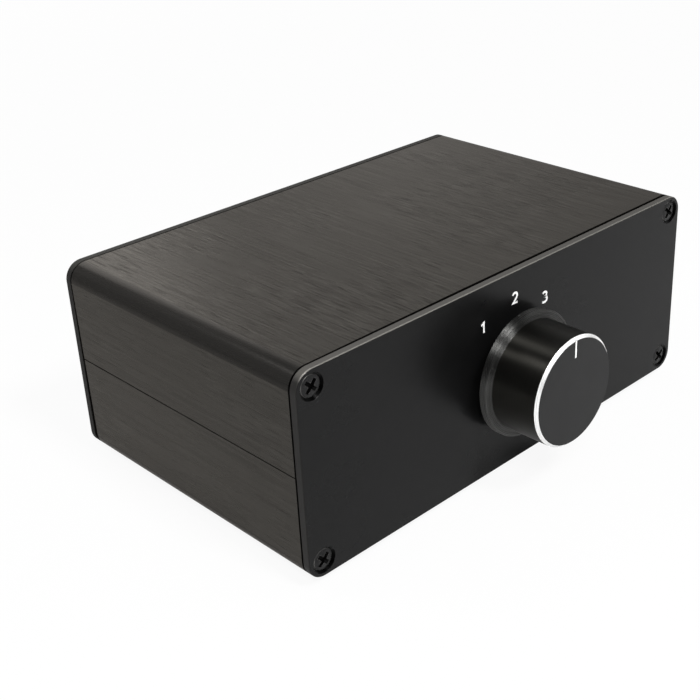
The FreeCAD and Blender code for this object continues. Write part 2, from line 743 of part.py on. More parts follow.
def make_detent():
    """Notched housing, the carrier that turns in it, and two sprung balls."""
    housing = new_body("detent_housing", 0.0, 0.0, spindle)
    floor = housing_rear - size.housing_floor
    pad_y(housing, [circle(0.0, 0.0, size.deck_radius)], cover_rear, housing_rear)
    pocket_y(housing, [circle(0.0, 0.0, size.tooth_radius)], cover_rear, floor)
    scallop = size.ball_radius + 4 * size.running_gap
    scallop_x = size.tooth_radius + size.notch_depth - scallop
    notch = pocket_y(housing, [circle(scallop_x, 0.0, scallop)], cover_rear, floor)
    polar(housing, notch, NOTCHES)
    arm_front = cover_rear + size.arm_setback
    lug_root = size.tooth_radius + size.notch_depth
    lug_tip = size.rotor_radius - size.blade_overlap
    half = size.stop_width / 2
    # Both flanks are straight, so the stop angle is measured where they are closest, at the tip.
    flank = math.degrees(math.asin(half.value / lug_tip.value))
    lug_turn = size.step_angle.value + 2 * flank + STOP_SLACK
    for side in (-1, 1):
        angle = math.radians(270.0 + side * lug_turn)
        along = (math.cos(angle), math.sin(angle))
        across = (-along[1], along[0])
        corners = [(reach * along[0] + sign * half * across[0],
                    reach * along[1] + sign * half * across[1])
                   for reach, sign in ((lug_tip, -1), (lug_root, -1), (lug_root, 1), (lug_tip, 1))]
        pad_y(housing, [corners], arm_front, floor)
    ties = [circle(x, z, size.tie_radius + size.screw_play) for x, z in tie_places()]
    pocket_y(housing, ties, cover_rear, housing_rear)
    pocket_y(housing, [circle(0.0, 0.0, size.shaft_radius + size.floor_play)], floor, housing_rear)
    node(housing, "detent_housing")

    ball_centre = size.tooth_radius - size.running_gap - size.ball_radius
    disc = ball_centre + size.ball_radius / 3
    carrier = new_body("detent_carrier", 0.0, 0.0, spindle)
    disc_front = cover_rear + size.running_gap
    disc_rear = arm_front - size.running_gap
    arm_start = arm_front + size.running_gap
    pad_y(carrier, [circle(0.0, 0.0, disc)], disc_front, disc_rear)
    hub = size.shaft_radius + size.hub_wall
    pad_y(carrier, [circle(0.0, 0.0, hub)], disc_rear, floor - size.running_gap)
    pad_y(carrier, [rectangle(-half, half, 4 * size.running_gap - size.tooth_radius, 0.0)],
          arm_start, floor - size.running_gap)
    pocket_y(carrier, [circle(0.0, 0.0, size.shaft_radius + size.shaft_play)],
             disc_front, floor - size.running_gap)
    ball_y = (disc_front + disc_rear) / 2
    well = size.ball_radius + size.running_gap
    well_floor = size.shaft_radius + size.well_wall
    for sign in (1, -1):
        sketch = draw(carrier, "YZ_Plane", [circle(ball_y, 0.0, well)], sign * well_floor)
        grow(carrier, "Pocket", sketch, size.deck_radius, backwards=sign > 0)
    node(carrier, "detent_carrier")

    balls = []
    springs = []
    for sign in (1, -1):
        ball = doc.addObject("Part::Sphere", "Ball")
        bind(ball, "Radius", size.ball_radius)
        balls.append(place(ball, sign * ball_centre, ball_y, spindle))
        rear = sign * well_floor
        front = sign * (ball_centre - size.ball_radius)
        low, high = (rear, front) if sign > 0 else (front, rear)
        coil = rod("x", (ball_y, spindle), (low, high), size.ball_radius * SPRING_OUTSIDE)
        eye = rod("x", (ball_y, spindle), (low, high), size.ball_radius * SPRING_INSIDE)
        springs.append(cut(coil, [eye]))
    node(group(balls), "detent_balls")
    node(group(springs), "detent_springs")


# Switch decks.

def deck_angles(turn, steps=(*THROWS, COMMON_STEP)):
    """Angles of a deck's fixed contacts: the throws and the common of each pole."""
    return [90.0 + 180.0 * pole + turn + size.step_angle.value * step
            for pole in range(POLES_PER_DECK) for step in steps]


def spoke(angle, inner, outer, width):
    """Four corners of a bar that lies along a radius."""
    turn = math.radians(angle)
    along = (math.cos(turn), math.sin(turn))
    half = width / 2
    return [(reach * along[0] - sign * half * along[1], reach * along[1] + sign * half * along[0])
            for reach, sign in ((inner, -1), (outer, -1), (outer, 1), (inner, 1))]


def make_deck(number, front, turn, passing):
    """One deck: stator, rotor, wipers and fixed contacts; passing lists pins that go by."""
    rear = front + size.deck_length
    blade_front = rear - size.blade_thickness - 4 * size.running_gap
    rotor_front = front + size.rotor_setback
    rotor_rear = blade_front - size.blade_thickness - size.running_gap
    stator = new_body(f"deck_{number}_stator", 0.0, 0.0, spindle)
    pad_y(stator, [circle(0.0, 0.0, size.deck_radius)], front, rear)
    pocket_y(stator, [circle(0.0, 0.0, size.rotor_radius + size.rotor_play)],
             rotor_front - size.running_gap, rear)
    opening = size.rotor_radius - size.stator_lip
    pocket_y(stator, [circle(0.0, 0.0, opening)], front, rear)
    ties = [circle(x, z, size.tie_radius + size.screw_play) for x, z in tie_places()]
    pocket_y(stator, ties, front, rear)
    pin_outer = size.deck_radius - size.pin_side
    pin_inner = pin_outer - size.pin_side
    for angle in deck_angles(turn):
        slot = spoke(angle, size.rotor_radius - size.blade_overlap, pin_outer + size.running_gap,
                     size.blade_width + 2 * size.running_gap)
        pocket_y(stator, [slot], blade_front, rear)
    for angle in passing:
        slot = spoke(angle, pin_inner - size.rotor_play, size.deck_radius + size.pin_side,
                     size.pin_side * PIN_PASSAGE)
        pocket_y(stator, [slot], front, rear)
    node(stator, f"deck_{number}_stator")

    rotor = new_body(f"deck_{number}_rotor", 0.0, 0.0, spindle)
    pad_y(rotor, [circle(0.0, 0.0, size.rotor_radius)], rotor_front, rotor_rear)
    hub = opening - size.rotor_play
    pad_y(rotor, [circle(0.0, 0.0, hub)], front + size.running_gap, rotor_front)
    pocket_y(rotor, [circle(0.0, 0.0, size.shaft_radius + size.shaft_play)], front, rotor_rear)
    node(rotor, f"deck_{number}_rotor")

    wipers = []
    for pole in range(POLES_PER_DECK):
        first = 90.0 + 180.0 * pole + turn
        wiper = new_body(f"wiper_{number}_{pole + 1}", 0.0, 0.0, spindle)
        inner = size.shaft_radius + size.wiper_inset
        outer = inner + size.blade_width
        pad_y(wiper, [arc_band(first - WIPER_BEHIND, first + WIPER_AHEAD, inner, outer)],
              rotor_rear, rotor_rear + size.blade_thickness)
        pad_y(wiper, [spoke(first, inner + size.blade_thickness,
                            size.rotor_radius - size.blade_thickness, size.blade_width)],
              rotor_rear, rotor_rear + size.blade_thickness)
        wipers.append(wiper)
    node(group(wipers), f"deck_{number}_wipers")

    blades = []
    commons = deck_angles(turn, [COMMON_STEP])
    common_tip = size.shaft_radius + size.common_inset
    throw_tip = size.rotor_radius - size.blade_overlap
    for angle in deck_angles(turn):
        tip = common_tip if angle in commons else throw_tip
        blade = new_body(f"blade_{number}", 0.0, 0.0, spindle)
        pad_y(blade, [spoke(angle, tip, pin_outer, size.blade_width)],
              blade_front, blade_front + size.blade_thickness)
        pad_y(blade, [spoke(angle, pin_inner, pin_outer, size.pin_side)],
              blade_front, board_front)
        blades.append(blade)
    node(group(blades), f"deck_{number}_contacts")


def arc_band(first, last, inner, outer):
    """Corners of a flat curved strip about the axis, every 30 degrees or less."""
    steps = math.ceil((last - first) / 30.0)
    angles = [math.radians(first + (last - first) * k / steps) for k in range(steps + 1)]
    outside = [(outer * math.cos(a), outer * math.sin(a)) for a in angles]
    inside = [(inner * math.cos(a), inner * math.sin(a)) for a in reversed(angles)]
    return outside + inside


def make_tie_screws():
    screw = new_body("tie_screw")
    length = decks_rear - front_inside
    head = size.tie_radius * TIE_HEAD
    turn_profile(screw, "Revolution", [
        (0.0, -size.tie_radius), (head, -size.tie_radius), (head, 0.0), (size.tie_radius, 0.0),
        (size.tie_radius, length), (0.0, length),
    ])
    up = FreeCAD.Vector(0, 0, 1)
    places = [(x, decks_rear, spindle + z, up, 180) for x, z in tie_places()]
    node(copies(screw, places), "switch_tie_screws")


# Boards and ribbon.

header_low = spindle - size.header_height / 2
header_high = spindle + size.header_height / 2
socket_board_rear = rear_inside - size.socket_depth
socket_board_front = socket_board_rear - size.board_thickness
front_plug_rear = board_rear + size.header_base + size.ribbon_plug_length
rear_plug_front = socket_board_front - size.header_base - size.ribbon_plug_length


def make_boards():
    half_x = size.switch_board_width / 2
    half_z = size.switch_board_height / 2
    switch_board = block((-half_x, half_x), (board_front, board_rear),
                         (spindle - half_z, spindle + half_z))
    node(switch_board, "switch_board")

    reach = half_width - size.shell_wall - size.board_margin
    tall = (ROWS * row_pitch - size.socket_gap) / 2
    board = block((-reach, reach), (socket_board_front, socket_board_rear),
                  (middle - tall, middle + tall))
    holes = []
    for column in range(COLUMNS):
        for level in range(ROWS):
            axis_x, axis_z = socket_axis(column, level)
            for x, z in contact_places(axis_x, axis_z):
                holes.append(rod("y", (x, z), (socket_board_front, socket_board_rear),
                                 tail_radius + size.running_gap))
    node(cut(board, holes), "socket_board")

    half = size.header_width / 2
    for label, low, high in (
            ("switch_board_header", board_rear, board_rear + size.header_base),
            ("socket_board_header", socket_board_front - size.header_base, socket_board_front)):
        node(block((-half, half), (low, high), (header_low, header_high)), label)


def make_ribbon():
    """Flat cable that leaves both plugs upwards and crosses over between the boards."""
    half = size.header_width / 2
    thin = size.ribbon_thickness
    front_y = front_plug_rear - size.ribbon_plug_length / 4
    rear_y = rear_plug_front + size.ribbon_plug_length / 4
    ribbon_half = size.ribbon_width / 2 + size.running_gap
    ribbon_end = header_low + size.plug_floor
    for label, low, high, centre in (
            ("front_ribbon_plug", board_rear + size.header_base, front_plug_rear, front_y),
            ("rear_ribbon_plug", rear_plug_front, socket_board_front - size.header_base, rear_y)):
        plug = block((-half, half), (low, high), (header_low, header_high))
        slot = block((-ribbon_half, ribbon_half),
                     (centre - thin / 2 - size.running_gap, centre + thin / 2 + size.running_gap),
                     (ribbon_end, header_high + size.plug_floor))
        node(cut(plug, [slot]), label)

    bend = size.ribbon_bend
    crown = header_high + size.ribbon_rise + bend
    body = new_body("ribbon_cable", -size.ribbon_width / 2, 0.0, 0.0)
    outline = [
        (front_y - thin / 2, ribbon_end), (front_y + thin / 2, ribbon_end),
        (front_y + thin / 2, crown - thin / 2), (rear_y - thin / 2, crown - thin / 2),
        (rear_y - thin / 2, ribbon_end), (rear_y + thin / 2, ribbon_end),
        (rear_y + thin / 2, crown + thin / 2), (front_y - thin / 2, crown + thin / 2),
    ]
    sketch = draw(body, "YZ_Plane", [outline])
    grow(body, "Pad", sketch, size.ribbon_width)
    high_corner = (crown + thin / 2).value
    low_corner = (crown - thin / 2).value
    dress(body, "Fillet", "Radius", bend + thin / 2, lambda edge: edge.BoundBox.XLength > 1.0
          and abs(edge.BoundBox.ZMin - high_corner) < 1e-4)
    dress(body, "Fillet", "Radius", bend - thin / 2, lambda edge: edge.BoundBox.XLength > 1.0
          and abs(edge.BoundBox.ZMin - low_corner) < 1e-4)
    node(body, "ribbon_cable")


# Sockets. Columns run from left to right as seen from the front, rows from the bottom.
# They fill the height between the shells, and what lies across a socket grows with its body.

inner_height = size.casing_height - 2 * (size.shell_wall + size.socket_margin)
socket_side = (inner_height - (ROWS - 1) * size.socket_gap) / ROWS
row_pitch = socket_side + size.socket_gap
column_pitch = (size.casing_width - 2 * size.column_inset) / COLUMNS
fit = socket_side / size.socket_standard
nose_radius = size.nose_radius * fit
cup_radius = size.cup_radius * fit
bore_radius = size.bore_radius * fit
post_radius = size.post_radius * fit
lobe_half = size.lobe_width * fit / 2
lobe_reach = size.lobe_reach * fit
slot_half = size.slot_width * fit / 2
slot_reach = size.slot_reach * fit

nose_face = rear_face + size.nose_stand
cup_floor = nose_face - size.cup_depth
collar_end = cup_floor - size.insert_seat
socket_back = rear_inside - size.socket_depth
tail_radius = size.pin_radius / 2


def socket_axis(column, level):
    x = (column - (COLUMNS - 1) / 2) * column_pitch
    z = middle + (level - (ROWS - 1) / 2) * row_pitch
    return x, z


def contact_places(x, z):
    """Three contacts on a circle, the single one away from the release tab."""
    reach = size.pin_circle * fit
    return [(x - reach * math.cos(math.radians(angle)), z - reach * math.sin(math.radians(angle)))
            for angle in CONTACT_ANGLES]


def socket_name(column, level):
    side = "left" if level else "right"
    if column == COLUMNS - 1:
        return f"output_{side}"
    return f"input_{column + 1}_{side}"


def socket_solids(x, z, is_input):
    """Block behind the panel and round nose through it."""
    half = socket_side / 2
    nose_root = rear_inside - size.nose_stand
    solids = [
        block((x - half, x + half), (socket_back, rear_inside), (z - half, z + half)),
        rod("y", (x, z), (nose_root, nose_face), nose_radius),
    ]
    if is_input:
        solids.append(block((x - lobe_half, x + lobe_half), (nose_root, nose_face),
                            (z, z + lobe_reach)))
    return solids


def make_socket(column, level):
    x, z = socket_axis(column, level)
    name = socket_name(column, level)
    is_input = column < COLUMNS - 1
    inner = socket_side / 2 - size.socket_wall
    overlap = cup_floor - size.nose_stand
    opening = cup_radius if is_input else bore_radius
    tools = [
        rod("y", (x, z), (overlap, nose_face), opening),
        rod("y", (x, z), (collar_end, cup_floor), cup_radius),
        block((x - inner, x + inner), (socket_back, collar_end), (z - inner, z + inner)),
    ]
    if is_input:
        tools.append(block((x - slot_half, x + slot_half), (rear_inside - size.slot_depth, nose_face),
                           (z + post_radius, z + slot_reach)))
    else:
        half = size.key_width * fit / 2
        tools.append(block((x - half, x + half), (nose_face - size.key_depth, nose_face),
                           (z, z + bore_radius + size.key_height * fit)))
    for dx, dz in socket_screw_places():
        tools.append(rod("y", (x + dx, z + dz), (rear_inside - size.socket_screw_length, rear_inside),
                         size.socket_screw_radius + size.screw_play))
    node(cut(fuse(socket_solids(x, z, is_input)), tools), name + "_socket")

    collar = cup_radius - size.insert_play
    holes = contact_places(x, z)
    if is_input:
        solid = fuse([rod("y", (x, z), (collar_end, cup_floor), collar),
                      rod("y", (x, z), (overlap, nose_face - size.post_recess), post_radius)])
        hole_radius = size.sleeve_radius + size.running_gap
    else:
        solid = rod("y", (x, z), (collar_end, cup_floor), collar)
        hole_radius = size.pin_radius + size.running_gap
    bores = [rod("y", spot, (collar_end, nose_face - size.post_recess), hole_radius)
             for spot in holes]
    node(cut(solid, bores), name + "_insert")
    if is_input:
        make_release_tab(x, z, name)


def socket_screw_places():
    """Lower right and upper left, clear of the nose and of the release tab."""
    offset = size.socket_screw_offset * fit
    return [(offset, -offset), (-offset, offset)]


def make_release_tab(x, z, name):
    """Sliding tab on top of an input socket, in one piece with its latch nose."""
    half = slot_half - size.tab_play
    back = rear_inside - size.slot_depth + size.tab_travel + 2 * size.tab_play
    low = z + size.tab_inset * fit
    plate = block((x - half, x + half), (back, nose_face + size.tab_stand),
                  (low, z + slot_reach - size.tab_play))
    latch_front = rear_inside - size.tab_travel
    latch = block((x - half / 2, x + half / 2), (latch_front - size.latch_length, latch_front),
                  (z + size.latch_reach * fit, low))
    node(fuse([plate, latch]), name + "_release_tab")


def make_contacts():
    """Sleeves in the input inserts and pins in the output inserts, with tails in the board."""
    sleeves = []
    pins = []
    tail_end = socket_board_front - size.tail_length
    for column in range(COLUMNS):
        for level in range(ROWS):
            axis_x, axis_z = socket_axis(column, level)
            for spot in contact_places(axis_x, axis_z):
                tail = rod("y", spot, (tail_end, collar_end + size.pin_radius), tail_radius)
                if column < COLUMNS - 1:
                    mouth = nose_face - size.post_recess - size.sleeve_recess
                    sleeve = rod("y", spot, (collar_end, mouth), size.sleeve_radius)
                    hole = rod("y", spot, (cup_floor, mouth), size.pin_radius + size.shaft_play)
                    sleeves.append(cut(fuse([sleeve, tail]), [hole]))
                else:
                    pin = rod("y", spot, (collar_end, nose_face - size.pin_recess), size.pin_radius)
                    pins.append(fuse([pin, tail]))
    node(group(sleeves), "input_contacts")
    node(group(pins), "output_pins")


def make_socket_screws():
    """Pan-head screws that hold each socket to the panel from outside."""
    screw = new_body("socket_screw")
    rise = size.socket_head_height
    head = size.socket_head_radius
    length = size.socket_screw_length - size.panel_thickness
    turn_profile(screw, "Revolution", [
        (0.0, rise), (head * PAN_HEAD_CROWN, rise), (head, rise / 2), (head, 0.0),
        (size.socket_screw_radius, 0.0), (size.socket_screw_radius, -length), (0.0, -length),
    ])
    arm = size.cross_length * SMALL_CROSS_ARM
    half = size.cross_width / 2
    depth = rise / 2
    for outline in (rectangle(-arm, arm, -half, half), rectangle(-half, half, -arm, arm)):
        pocket_y(screw, [outline], depth, rise)
    places = []
    for column in range(COLUMNS):
        for level in range(ROWS):
            x, z = socket_axis(column, level)
            for dx, dz in socket_screw_places():
                places.append((x + dx, rear_face, z + dz, FreeCAD.Vector(0, 0, 1), 0))
    node(copies(screw, places), "socket_screws")


def rear_panel_holes():
    """Round holes for the noses, their lobes, and the socket screws."""
    cuts = []
    play = size.nose_play
    lobe = lobe_half + play
    for column in range(COLUMNS):
        for level in range(ROWS):
            x, z = socket_axis(column, level)
            cuts.append([circle(x, z, nose_radius + play)])
            if column < COLUMNS - 1:
                cuts.append([rectangle(x - lobe, x + lobe, z, z + lobe_reach + play)])
            cuts.append([circle(x + dx, z + dz, size.socket_screw_radius + size.screw_play)
                         for dx, dz in socket_screw_places()])
    return cuts


def front_panel_holes():
    return [[circle(0.0, spindle, size.bushing_radius + size.bushing_play)],
            [circle(-size.peg_offset, spindle, size.peg_radius + size.bushing_play)]]


def build():
    make_shell("bottom_shell", -1)
    make_shell("top_shell", 1)
    make_panel("front_panel", front_inside, front_face, front_panel_holes())
    make_panel("rear_panel", rear_inside, rear_face, rear_panel_holes())
    make_casing_screws()
    make_feet()
    make_knob()
    make_shaft()
    make_switch_cover()
    make_detent()
    first_deck = housing_rear
    second_deck = housing_rear + size.deck_length
    half_step = size.step_angle.value / 2
    make_deck(1, first_deck, 0.0, [])
    make_deck(2, second_deck, half_step, deck_angles(0.0))
    make_tie_screws()
    make_boards()
    make_ribbon()
    for column in range(COLUMNS):
        for level in range(ROWS):
            make_socket(column, level)
    make_contacts()
    make_socket_screws()


def check():
    """Stops before anything is written if an object failed."""
    doc.recompute()
    for thing in doc.Objects:
        if "Invalid" in thing.State or "Error" in thing.State:
            raise RuntimeError(f"{thing.Label} ({thing.Name}) failed: {thing.State}")
    for thing in nodes:
        shape = thing.Shape
        if shape.isNull() or not shape.isValid() or not shape.Solids:
            raise RuntimeError(f"{thing.Label} has no valid solid")


def export():
    os.makedirs("parts", exist_ok=True)
    for thing in nodes:
        thing.Shape.exportStep(os.path.join("parts", thing.Label + ".step"))
        print(thing.Label, len(thing.Shape.Solids), "solids", round(thing.Shape.Volume, 1), "mm3")
    print(len(nodes), "nodes")


build()
check()
export()
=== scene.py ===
import math

import bmesh
import bpy
from mathutils import Matrix, Vector


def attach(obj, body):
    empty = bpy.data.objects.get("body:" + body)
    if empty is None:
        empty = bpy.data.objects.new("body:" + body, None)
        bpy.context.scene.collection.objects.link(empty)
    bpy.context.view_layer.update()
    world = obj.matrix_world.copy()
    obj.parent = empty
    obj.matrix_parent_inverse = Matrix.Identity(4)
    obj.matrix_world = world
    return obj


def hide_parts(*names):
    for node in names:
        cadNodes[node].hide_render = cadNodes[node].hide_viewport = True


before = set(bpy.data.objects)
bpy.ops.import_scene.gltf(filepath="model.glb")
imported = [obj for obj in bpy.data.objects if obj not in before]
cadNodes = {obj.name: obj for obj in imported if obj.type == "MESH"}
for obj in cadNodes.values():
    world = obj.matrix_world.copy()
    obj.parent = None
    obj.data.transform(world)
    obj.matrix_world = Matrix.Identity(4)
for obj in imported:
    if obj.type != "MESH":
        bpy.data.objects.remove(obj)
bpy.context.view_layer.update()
print("frame loaded:", len(cadNodes), "nodes")

mm = 0.001
casing = {"frontFace": -41.9, "rearFace": 62.1, "plate": 2.5, "underside": 2.5, "top": 65.0, "halfWidth": 82.5,
          "corner": 5.5, "cornerSpan": (0.1, 0.3)}
knobAxis = Vector((0.0, 0.0, 34.2))
white = (1.0, 1.0, 1.0, 1.0)


# node helpers, used by the shader groups, the finishes and the geometry trees

def addNode(tree, kind, given=None, **settings):
    made = tree.nodes.new(kind)
    for key, value in settings.items():
        setattr(made, key, value)
    for key, value in (given or {}).items():
        socket = made.inputs[key]
        if isinstance(value, bpy.types.NodeSocket):
            tree.links.new(value, socket)
        else:
            socket.default_value = value
    return made


def calc(tree, operation, first, second=0.5, third=0.5, clamp=False):
    made = addNode(tree, "ShaderNodeMath", {0: first, 1: second, 2: third}, operation=operation)
    made.use_clamp = clamp
    return made.outputs[0]


def vectorCalc(tree, operation, first, second):
    return addNode(tree, "ShaderNodeVectorMath", {0: first, 1: second}, operation=operation).outputs[0]


def noise(tree, vector, scale, detail=2.0, roughness=0.5):
    made = addNode(tree, "ShaderNodeTexNoise",
                   {"Vector": vector, "Scale": scale, "Detail": detail, "Roughness": roughness})
    return made.outputs["Fac"]


def remap(tree, value, low, high, newLow=0.0, newHigh=1.0):
    made = addNode(tree, "ShaderNodeMapRange",
                   {"Value": value, "From Min": low, "From Max": high, "To Min": newLow, "To Max": newHigh})
    return made.outputs["Result"]


def blendColors(tree, factor, first, second):
    made = addNode(tree, "ShaderNodeMix", data_type="RGBA")
    for index, value in ((0, factor), (6, first), (7, second)):
        if isinstance(value, bpy.types.NodeSocket):
            tree.links.new(value, made.inputs[index])
        elif index:
            made.inputs[index].default_value = (*value, 1.0)
        else:
            made.inputs[index].default_value = value
    return made.outputs[2]


def newGroup(name, takes, gives):
    group = bpy.data.node_groups.new(name, "ShaderNodeTree")
    for title, kind, value in takes:
        socket = group.interface.new_socket(title, in_out="INPUT", socket_type=kind)
        if value is not None:
            socket.default_value = value
    for title in gives:
        group.interface.new_socket(title, in_out="OUTPUT", socket_type="NodeSocketFloat")
    given = group.nodes.new("NodeGroupInput")
    result = group.nodes.new("NodeGroupOutput")
    return group, given.outputs, result.inputs


# shader groups: every length in them is in millimetres

# the brushed grain's layers: cells per streak along X, Y and Z (per millimetre for patch), the noise's scale,
# detail and roughness, and the values between which the layer sets in
grainLook = {
    "wide": {"cells": (0.3, 0.32, 0.3), "noise": (1.0, 2.0, 0.5), "span": (0.3, 0.7)},
    "dash": {"cells": (1.0, 1.3, 1.0), "noise": (1.0, 1.0, 0.4), "span": (0.6, 0.66)},
    "light": {"cells": (1.1, 0.9, 1.1), "noise": (1.1, 1.0, 0.4), "span": (0.62, 0.68)},
    "patch": {"cells": (0.04, 0.025, 0.04), "noise": (1.0, 1.0, 0.5), "span": (0.42, 0.6, 0.12, 1.0)},
    "fine": {"noise": (1.0, 4.0, 0.65), "span": (0.3, 0.7, 0.25, 0.75)},
    "fineShare": 0.6, "wideShare": 0.36, "least": 0.02, "markHeight": 0.5,
}


def grainLayer(group, vector, name):
    layer = grainLook[name]
    pattern = noise(group, vectorCalc(group, "MULTIPLY", vector, layer["cells"]), *layer["noise"])
    return remap(group, pattern, *layer["span"])


def buildBrushGrain():
    look = grainLook
    group, given, result = newGroup(
        "brushGrain",
        [("Vector", "NodeSocketVector", None), ("Width", "NodeSocketFloat", 0.4),
         ("Length", "NodeSocketFloat", 14.0), ("Dashes", "NodeSocketFloat", 0.5)],
        ["Tone", "Height"])
    cell = addNode(group, "ShaderNodeCombineXYZ",
                   {"X": given["Width"], "Y": given["Length"], "Z": given["Width"]}).outputs[0]
    along = vectorCalc(group, "DIVIDE", given["Vector"], cell)
    fine = noise(group, along, *look["fine"]["noise"])
    wide, dash, light = (grainLayer(group, along, name) for name in ("wide", "dash", "light"))
    marks = calc(group, "MULTIPLY", calc(group, "SUBTRACT", light, dash), given["Dashes"])
    marks = calc(group, "MULTIPLY", marks, grainLayer(group, given["Vector"], "patch"))
    base = calc(group, "MULTIPLY_ADD", wide, look["wideShare"], look["least"])
    base = calc(group, "MULTIPLY_ADD", remap(group, fine, *look["fine"]["span"]), look["fineShare"], base)
    group.links.new(calc(group, "ADD", base, marks, clamp=True), result["Tone"])
    group.links.new(calc(group, "MULTIPLY_ADD", marks, look["markHeight"], fine), result["Height"])
    return group


def buildTurnedRings():
    group, given, result = newGroup(
        "turnedRings",
        [("Vector", "NodeSocketVector", None), ("Pitch", "NodeSocketFloat", 0.2)],
        ["Tone", "Height"])
    flat = vectorCalc(group, "MULTIPLY", given["Vector"], (1.0, 0.0, 1.0))
    radius = addNode(group, "ShaderNodeVectorMath", {0: flat}, operation="LENGTH").outputs["Value"]
    depth = addNode(group, "ShaderNodeSeparateXYZ", {0: given["Vector"]}).outputs["Y"]
    step = calc(group, "DIVIDE", calc(group, "ADD", radius, depth), given["Pitch"])
    rings = addNode(group, "ShaderNodeTexNoise", {"W": step, "Scale": 1.0, "Detail": 2.0},
                    noise_dimensions="1D").outputs["Fac"]
    group.links.new(remap(group, rings, 0.3, 0.7), result["Tone"])
    group.links.new(rings, result["Height"])
    return group


handlingLook = {"patchSpan": (0.35, 0.7), "speckScale": 2.2, "speckSpan": (0.7, 0.8), "speckShare": 0.4}


def buildHandling():
    look = handlingLook
    group, given, result = newGroup(
        "handlingMarks",
        [("Vector", "NodeSocketVector", None), ("Size", "NodeSocketFloat", 20.0),
         ("Amount", "NodeSocketFloat", 0.3)],
        ["Mask"])
    scale = calc(group, "DIVIDE", 1.0, given["Size"])
    patches = remap(group, noise(group, given["Vector"], scale, 3.0, 0.55), *look["patchSpan"])
    specks = remap(group, noise(group, given["Vector"], look["speckScale"], 1.0), *look["speckSpan"])
    both = calc(group, "MULTIPLY_ADD", specks, look["speckShare"], patches)
    group.links.new(calc(group, "MULTIPLY", both, given["Amount"], clamp=True), result["Mask"])
    return group


# lighter edges, found with the Bevel node: partly wear, partly a painted highlight along edges that would catch the
# light
edgeWearAndHighlightLook = {"turnSpan": (0.02, 0.22), "breakScale": 0.8, "breakSpan": (0.35, 0.65, 0.35, 1.0)}


def buildEdgeWearAndHighlight():
    look = edgeWearAndHighlightLook
    group, given, result = newGroup(
        "edgeWearAndHighlight",
        [("Vector", "NodeSocketVector", None), ("Breadth", "NodeSocketFloat", 0.3),
         ("Amount", "NodeSocketFloat", 0.6)],
        ["Mask"])
    metres = calc(group, "MULTIPLY", given["Breadth"], mm)
    rounded = addNode(group, "ShaderNodeBevel", {"Radius": metres}, samples=4).outputs[0]
    flat = addNode(group, "ShaderNodeNewGeometry").outputs["Normal"]
    same = addNode(group, "ShaderNodeVectorMath", {0: rounded, 1: flat}, operation="DOT_PRODUCT").outputs["Value"]
    turn = remap(group, calc(group, "SUBTRACT", 1.0, same), *look["turnSpan"])
    broken = remap(group, noise(group, given["Vector"], look["breakScale"], 3.0, 0.6), *look["breakSpan"])
    wornAndHighlit = calc(group, "MULTIPLY", turn, broken)
    group.links.new(calc(group, "MULTIPLY", wornAndHighlit, given["Amount"], clamp=True), result["Mask"])
    return group


skinLook = {"cloudScale": 0.35, "cloudHeight": 0.3}


def buildMouldedSkin():
    look = skinLook
    group, given, result = newGroup(
        "mouldedSkin",
        [("Vector", "NodeSocketVector", None), ("Grain", "NodeSocketFloat", 0.25)],
        ["Tone", "Height"])
    scale = calc(group, "DIVIDE", 1.0, given["Grain"])
    cells = addNode(group, "ShaderNodeTexVoronoi", {"Vector": given["Vector"], "Scale": scale},
                    feature="SMOOTH_F1").outputs["Distance"]
    cloud = noise(group, given["Vector"], look["cloudScale"], 3.0)
    group.links.new(cloud, result["Tone"])
    group.links.new(calc(group, "MULTIPLY_ADD", cloud, look["cloudHeight"], cells), result["Height"])
    return group


def buildCasingRim():
    # how far inside the casing's rounded outline a point lies, seen from the front
    group, given, result = newGroup("casingRim", [("Vector", "NodeSocketVector", None)], ["Inset", "Corner"])
    half = (casing["top"] - casing["underside"]) / 2
    across, _, up = addNode(group, "ShaderNodeSeparateXYZ", {0: given["Vector"]}).outputs
    level = calc(group, "ABSOLUTE", calc(group, "SUBTRACT", up, casing["underside"] + half))
    pastX = calc(group, "SUBTRACT", calc(group, "ABSOLUTE", across), casing["halfWidth"] - casing["corner"])
    pastZ = calc(group, "SUBTRACT", level, half - casing["corner"])
    outsideX, outsideZ = calc(group, "MAXIMUM", pastX, 0.0), calc(group, "MAXIMUM", pastZ, 0.0)
    reach = calc(group, "SQRT", calc(group, "MULTIPLY_ADD", outsideX, outsideX,
                                     calc(group, "MULTIPLY", outsideZ, outsideZ)))
    inner = calc(group, "MINIMUM", calc(group, "MAXIMUM", pastX, pastZ), 0.0)
    group.links.new(calc(group, "SUBTRACT", casing["corner"], calc(group, "ADD", reach, inner)), result["Inset"])
    group.links.new(remap(group, calc(group, "MINIMUM", pastX, pastZ), *casing["cornerSpan"]), result["Corner"])
    return group


brushGrain = buildBrushGrain()
turnedRings = buildTurnedRings()
handlingMarks = buildHandling()
edgeWearAndHighlight = buildEdgeWearAndHighlight()
mouldedSkin = buildMouldedSkin()
casingRim = buildCasingRim()
print("shader groups built:", len(bpy.data.node_groups))


# finishes

def newFinish(name, plain):
    material = bpy.data.materials.new(name)
    material.use_nodes = True
    tree = material.node_tree
    shader = tree.nodes["Principled BSDF"]
    for title, value in plain.items():
        shader.inputs[title].default_value = value
    return material, tree, shader.inputs


def inMillimetres(tree, centre=(0.0, 0.0, 0.0)):
    seen = addNode(tree, "ShaderNodeTexCoord").outputs["Object"]
    made = addNode(tree, "ShaderNodeMapping",
                   {"Vector": seen, "Location": tuple(-value for value in centre), "Scale": (1000.0,) * 3})
    return made.outputs[0]


def useGroup(tree, group, given):
    return addNode(tree, "ShaderNodeGroup", given, node_tree=group).outputs


def addBump(tree, shader, height, distance):
    bump = addNode(tree, "ShaderNodeBump", {"Height": height, "Distance": distance * mm})
    tree.links.new(bump.outputs[0], shader["Normal"])


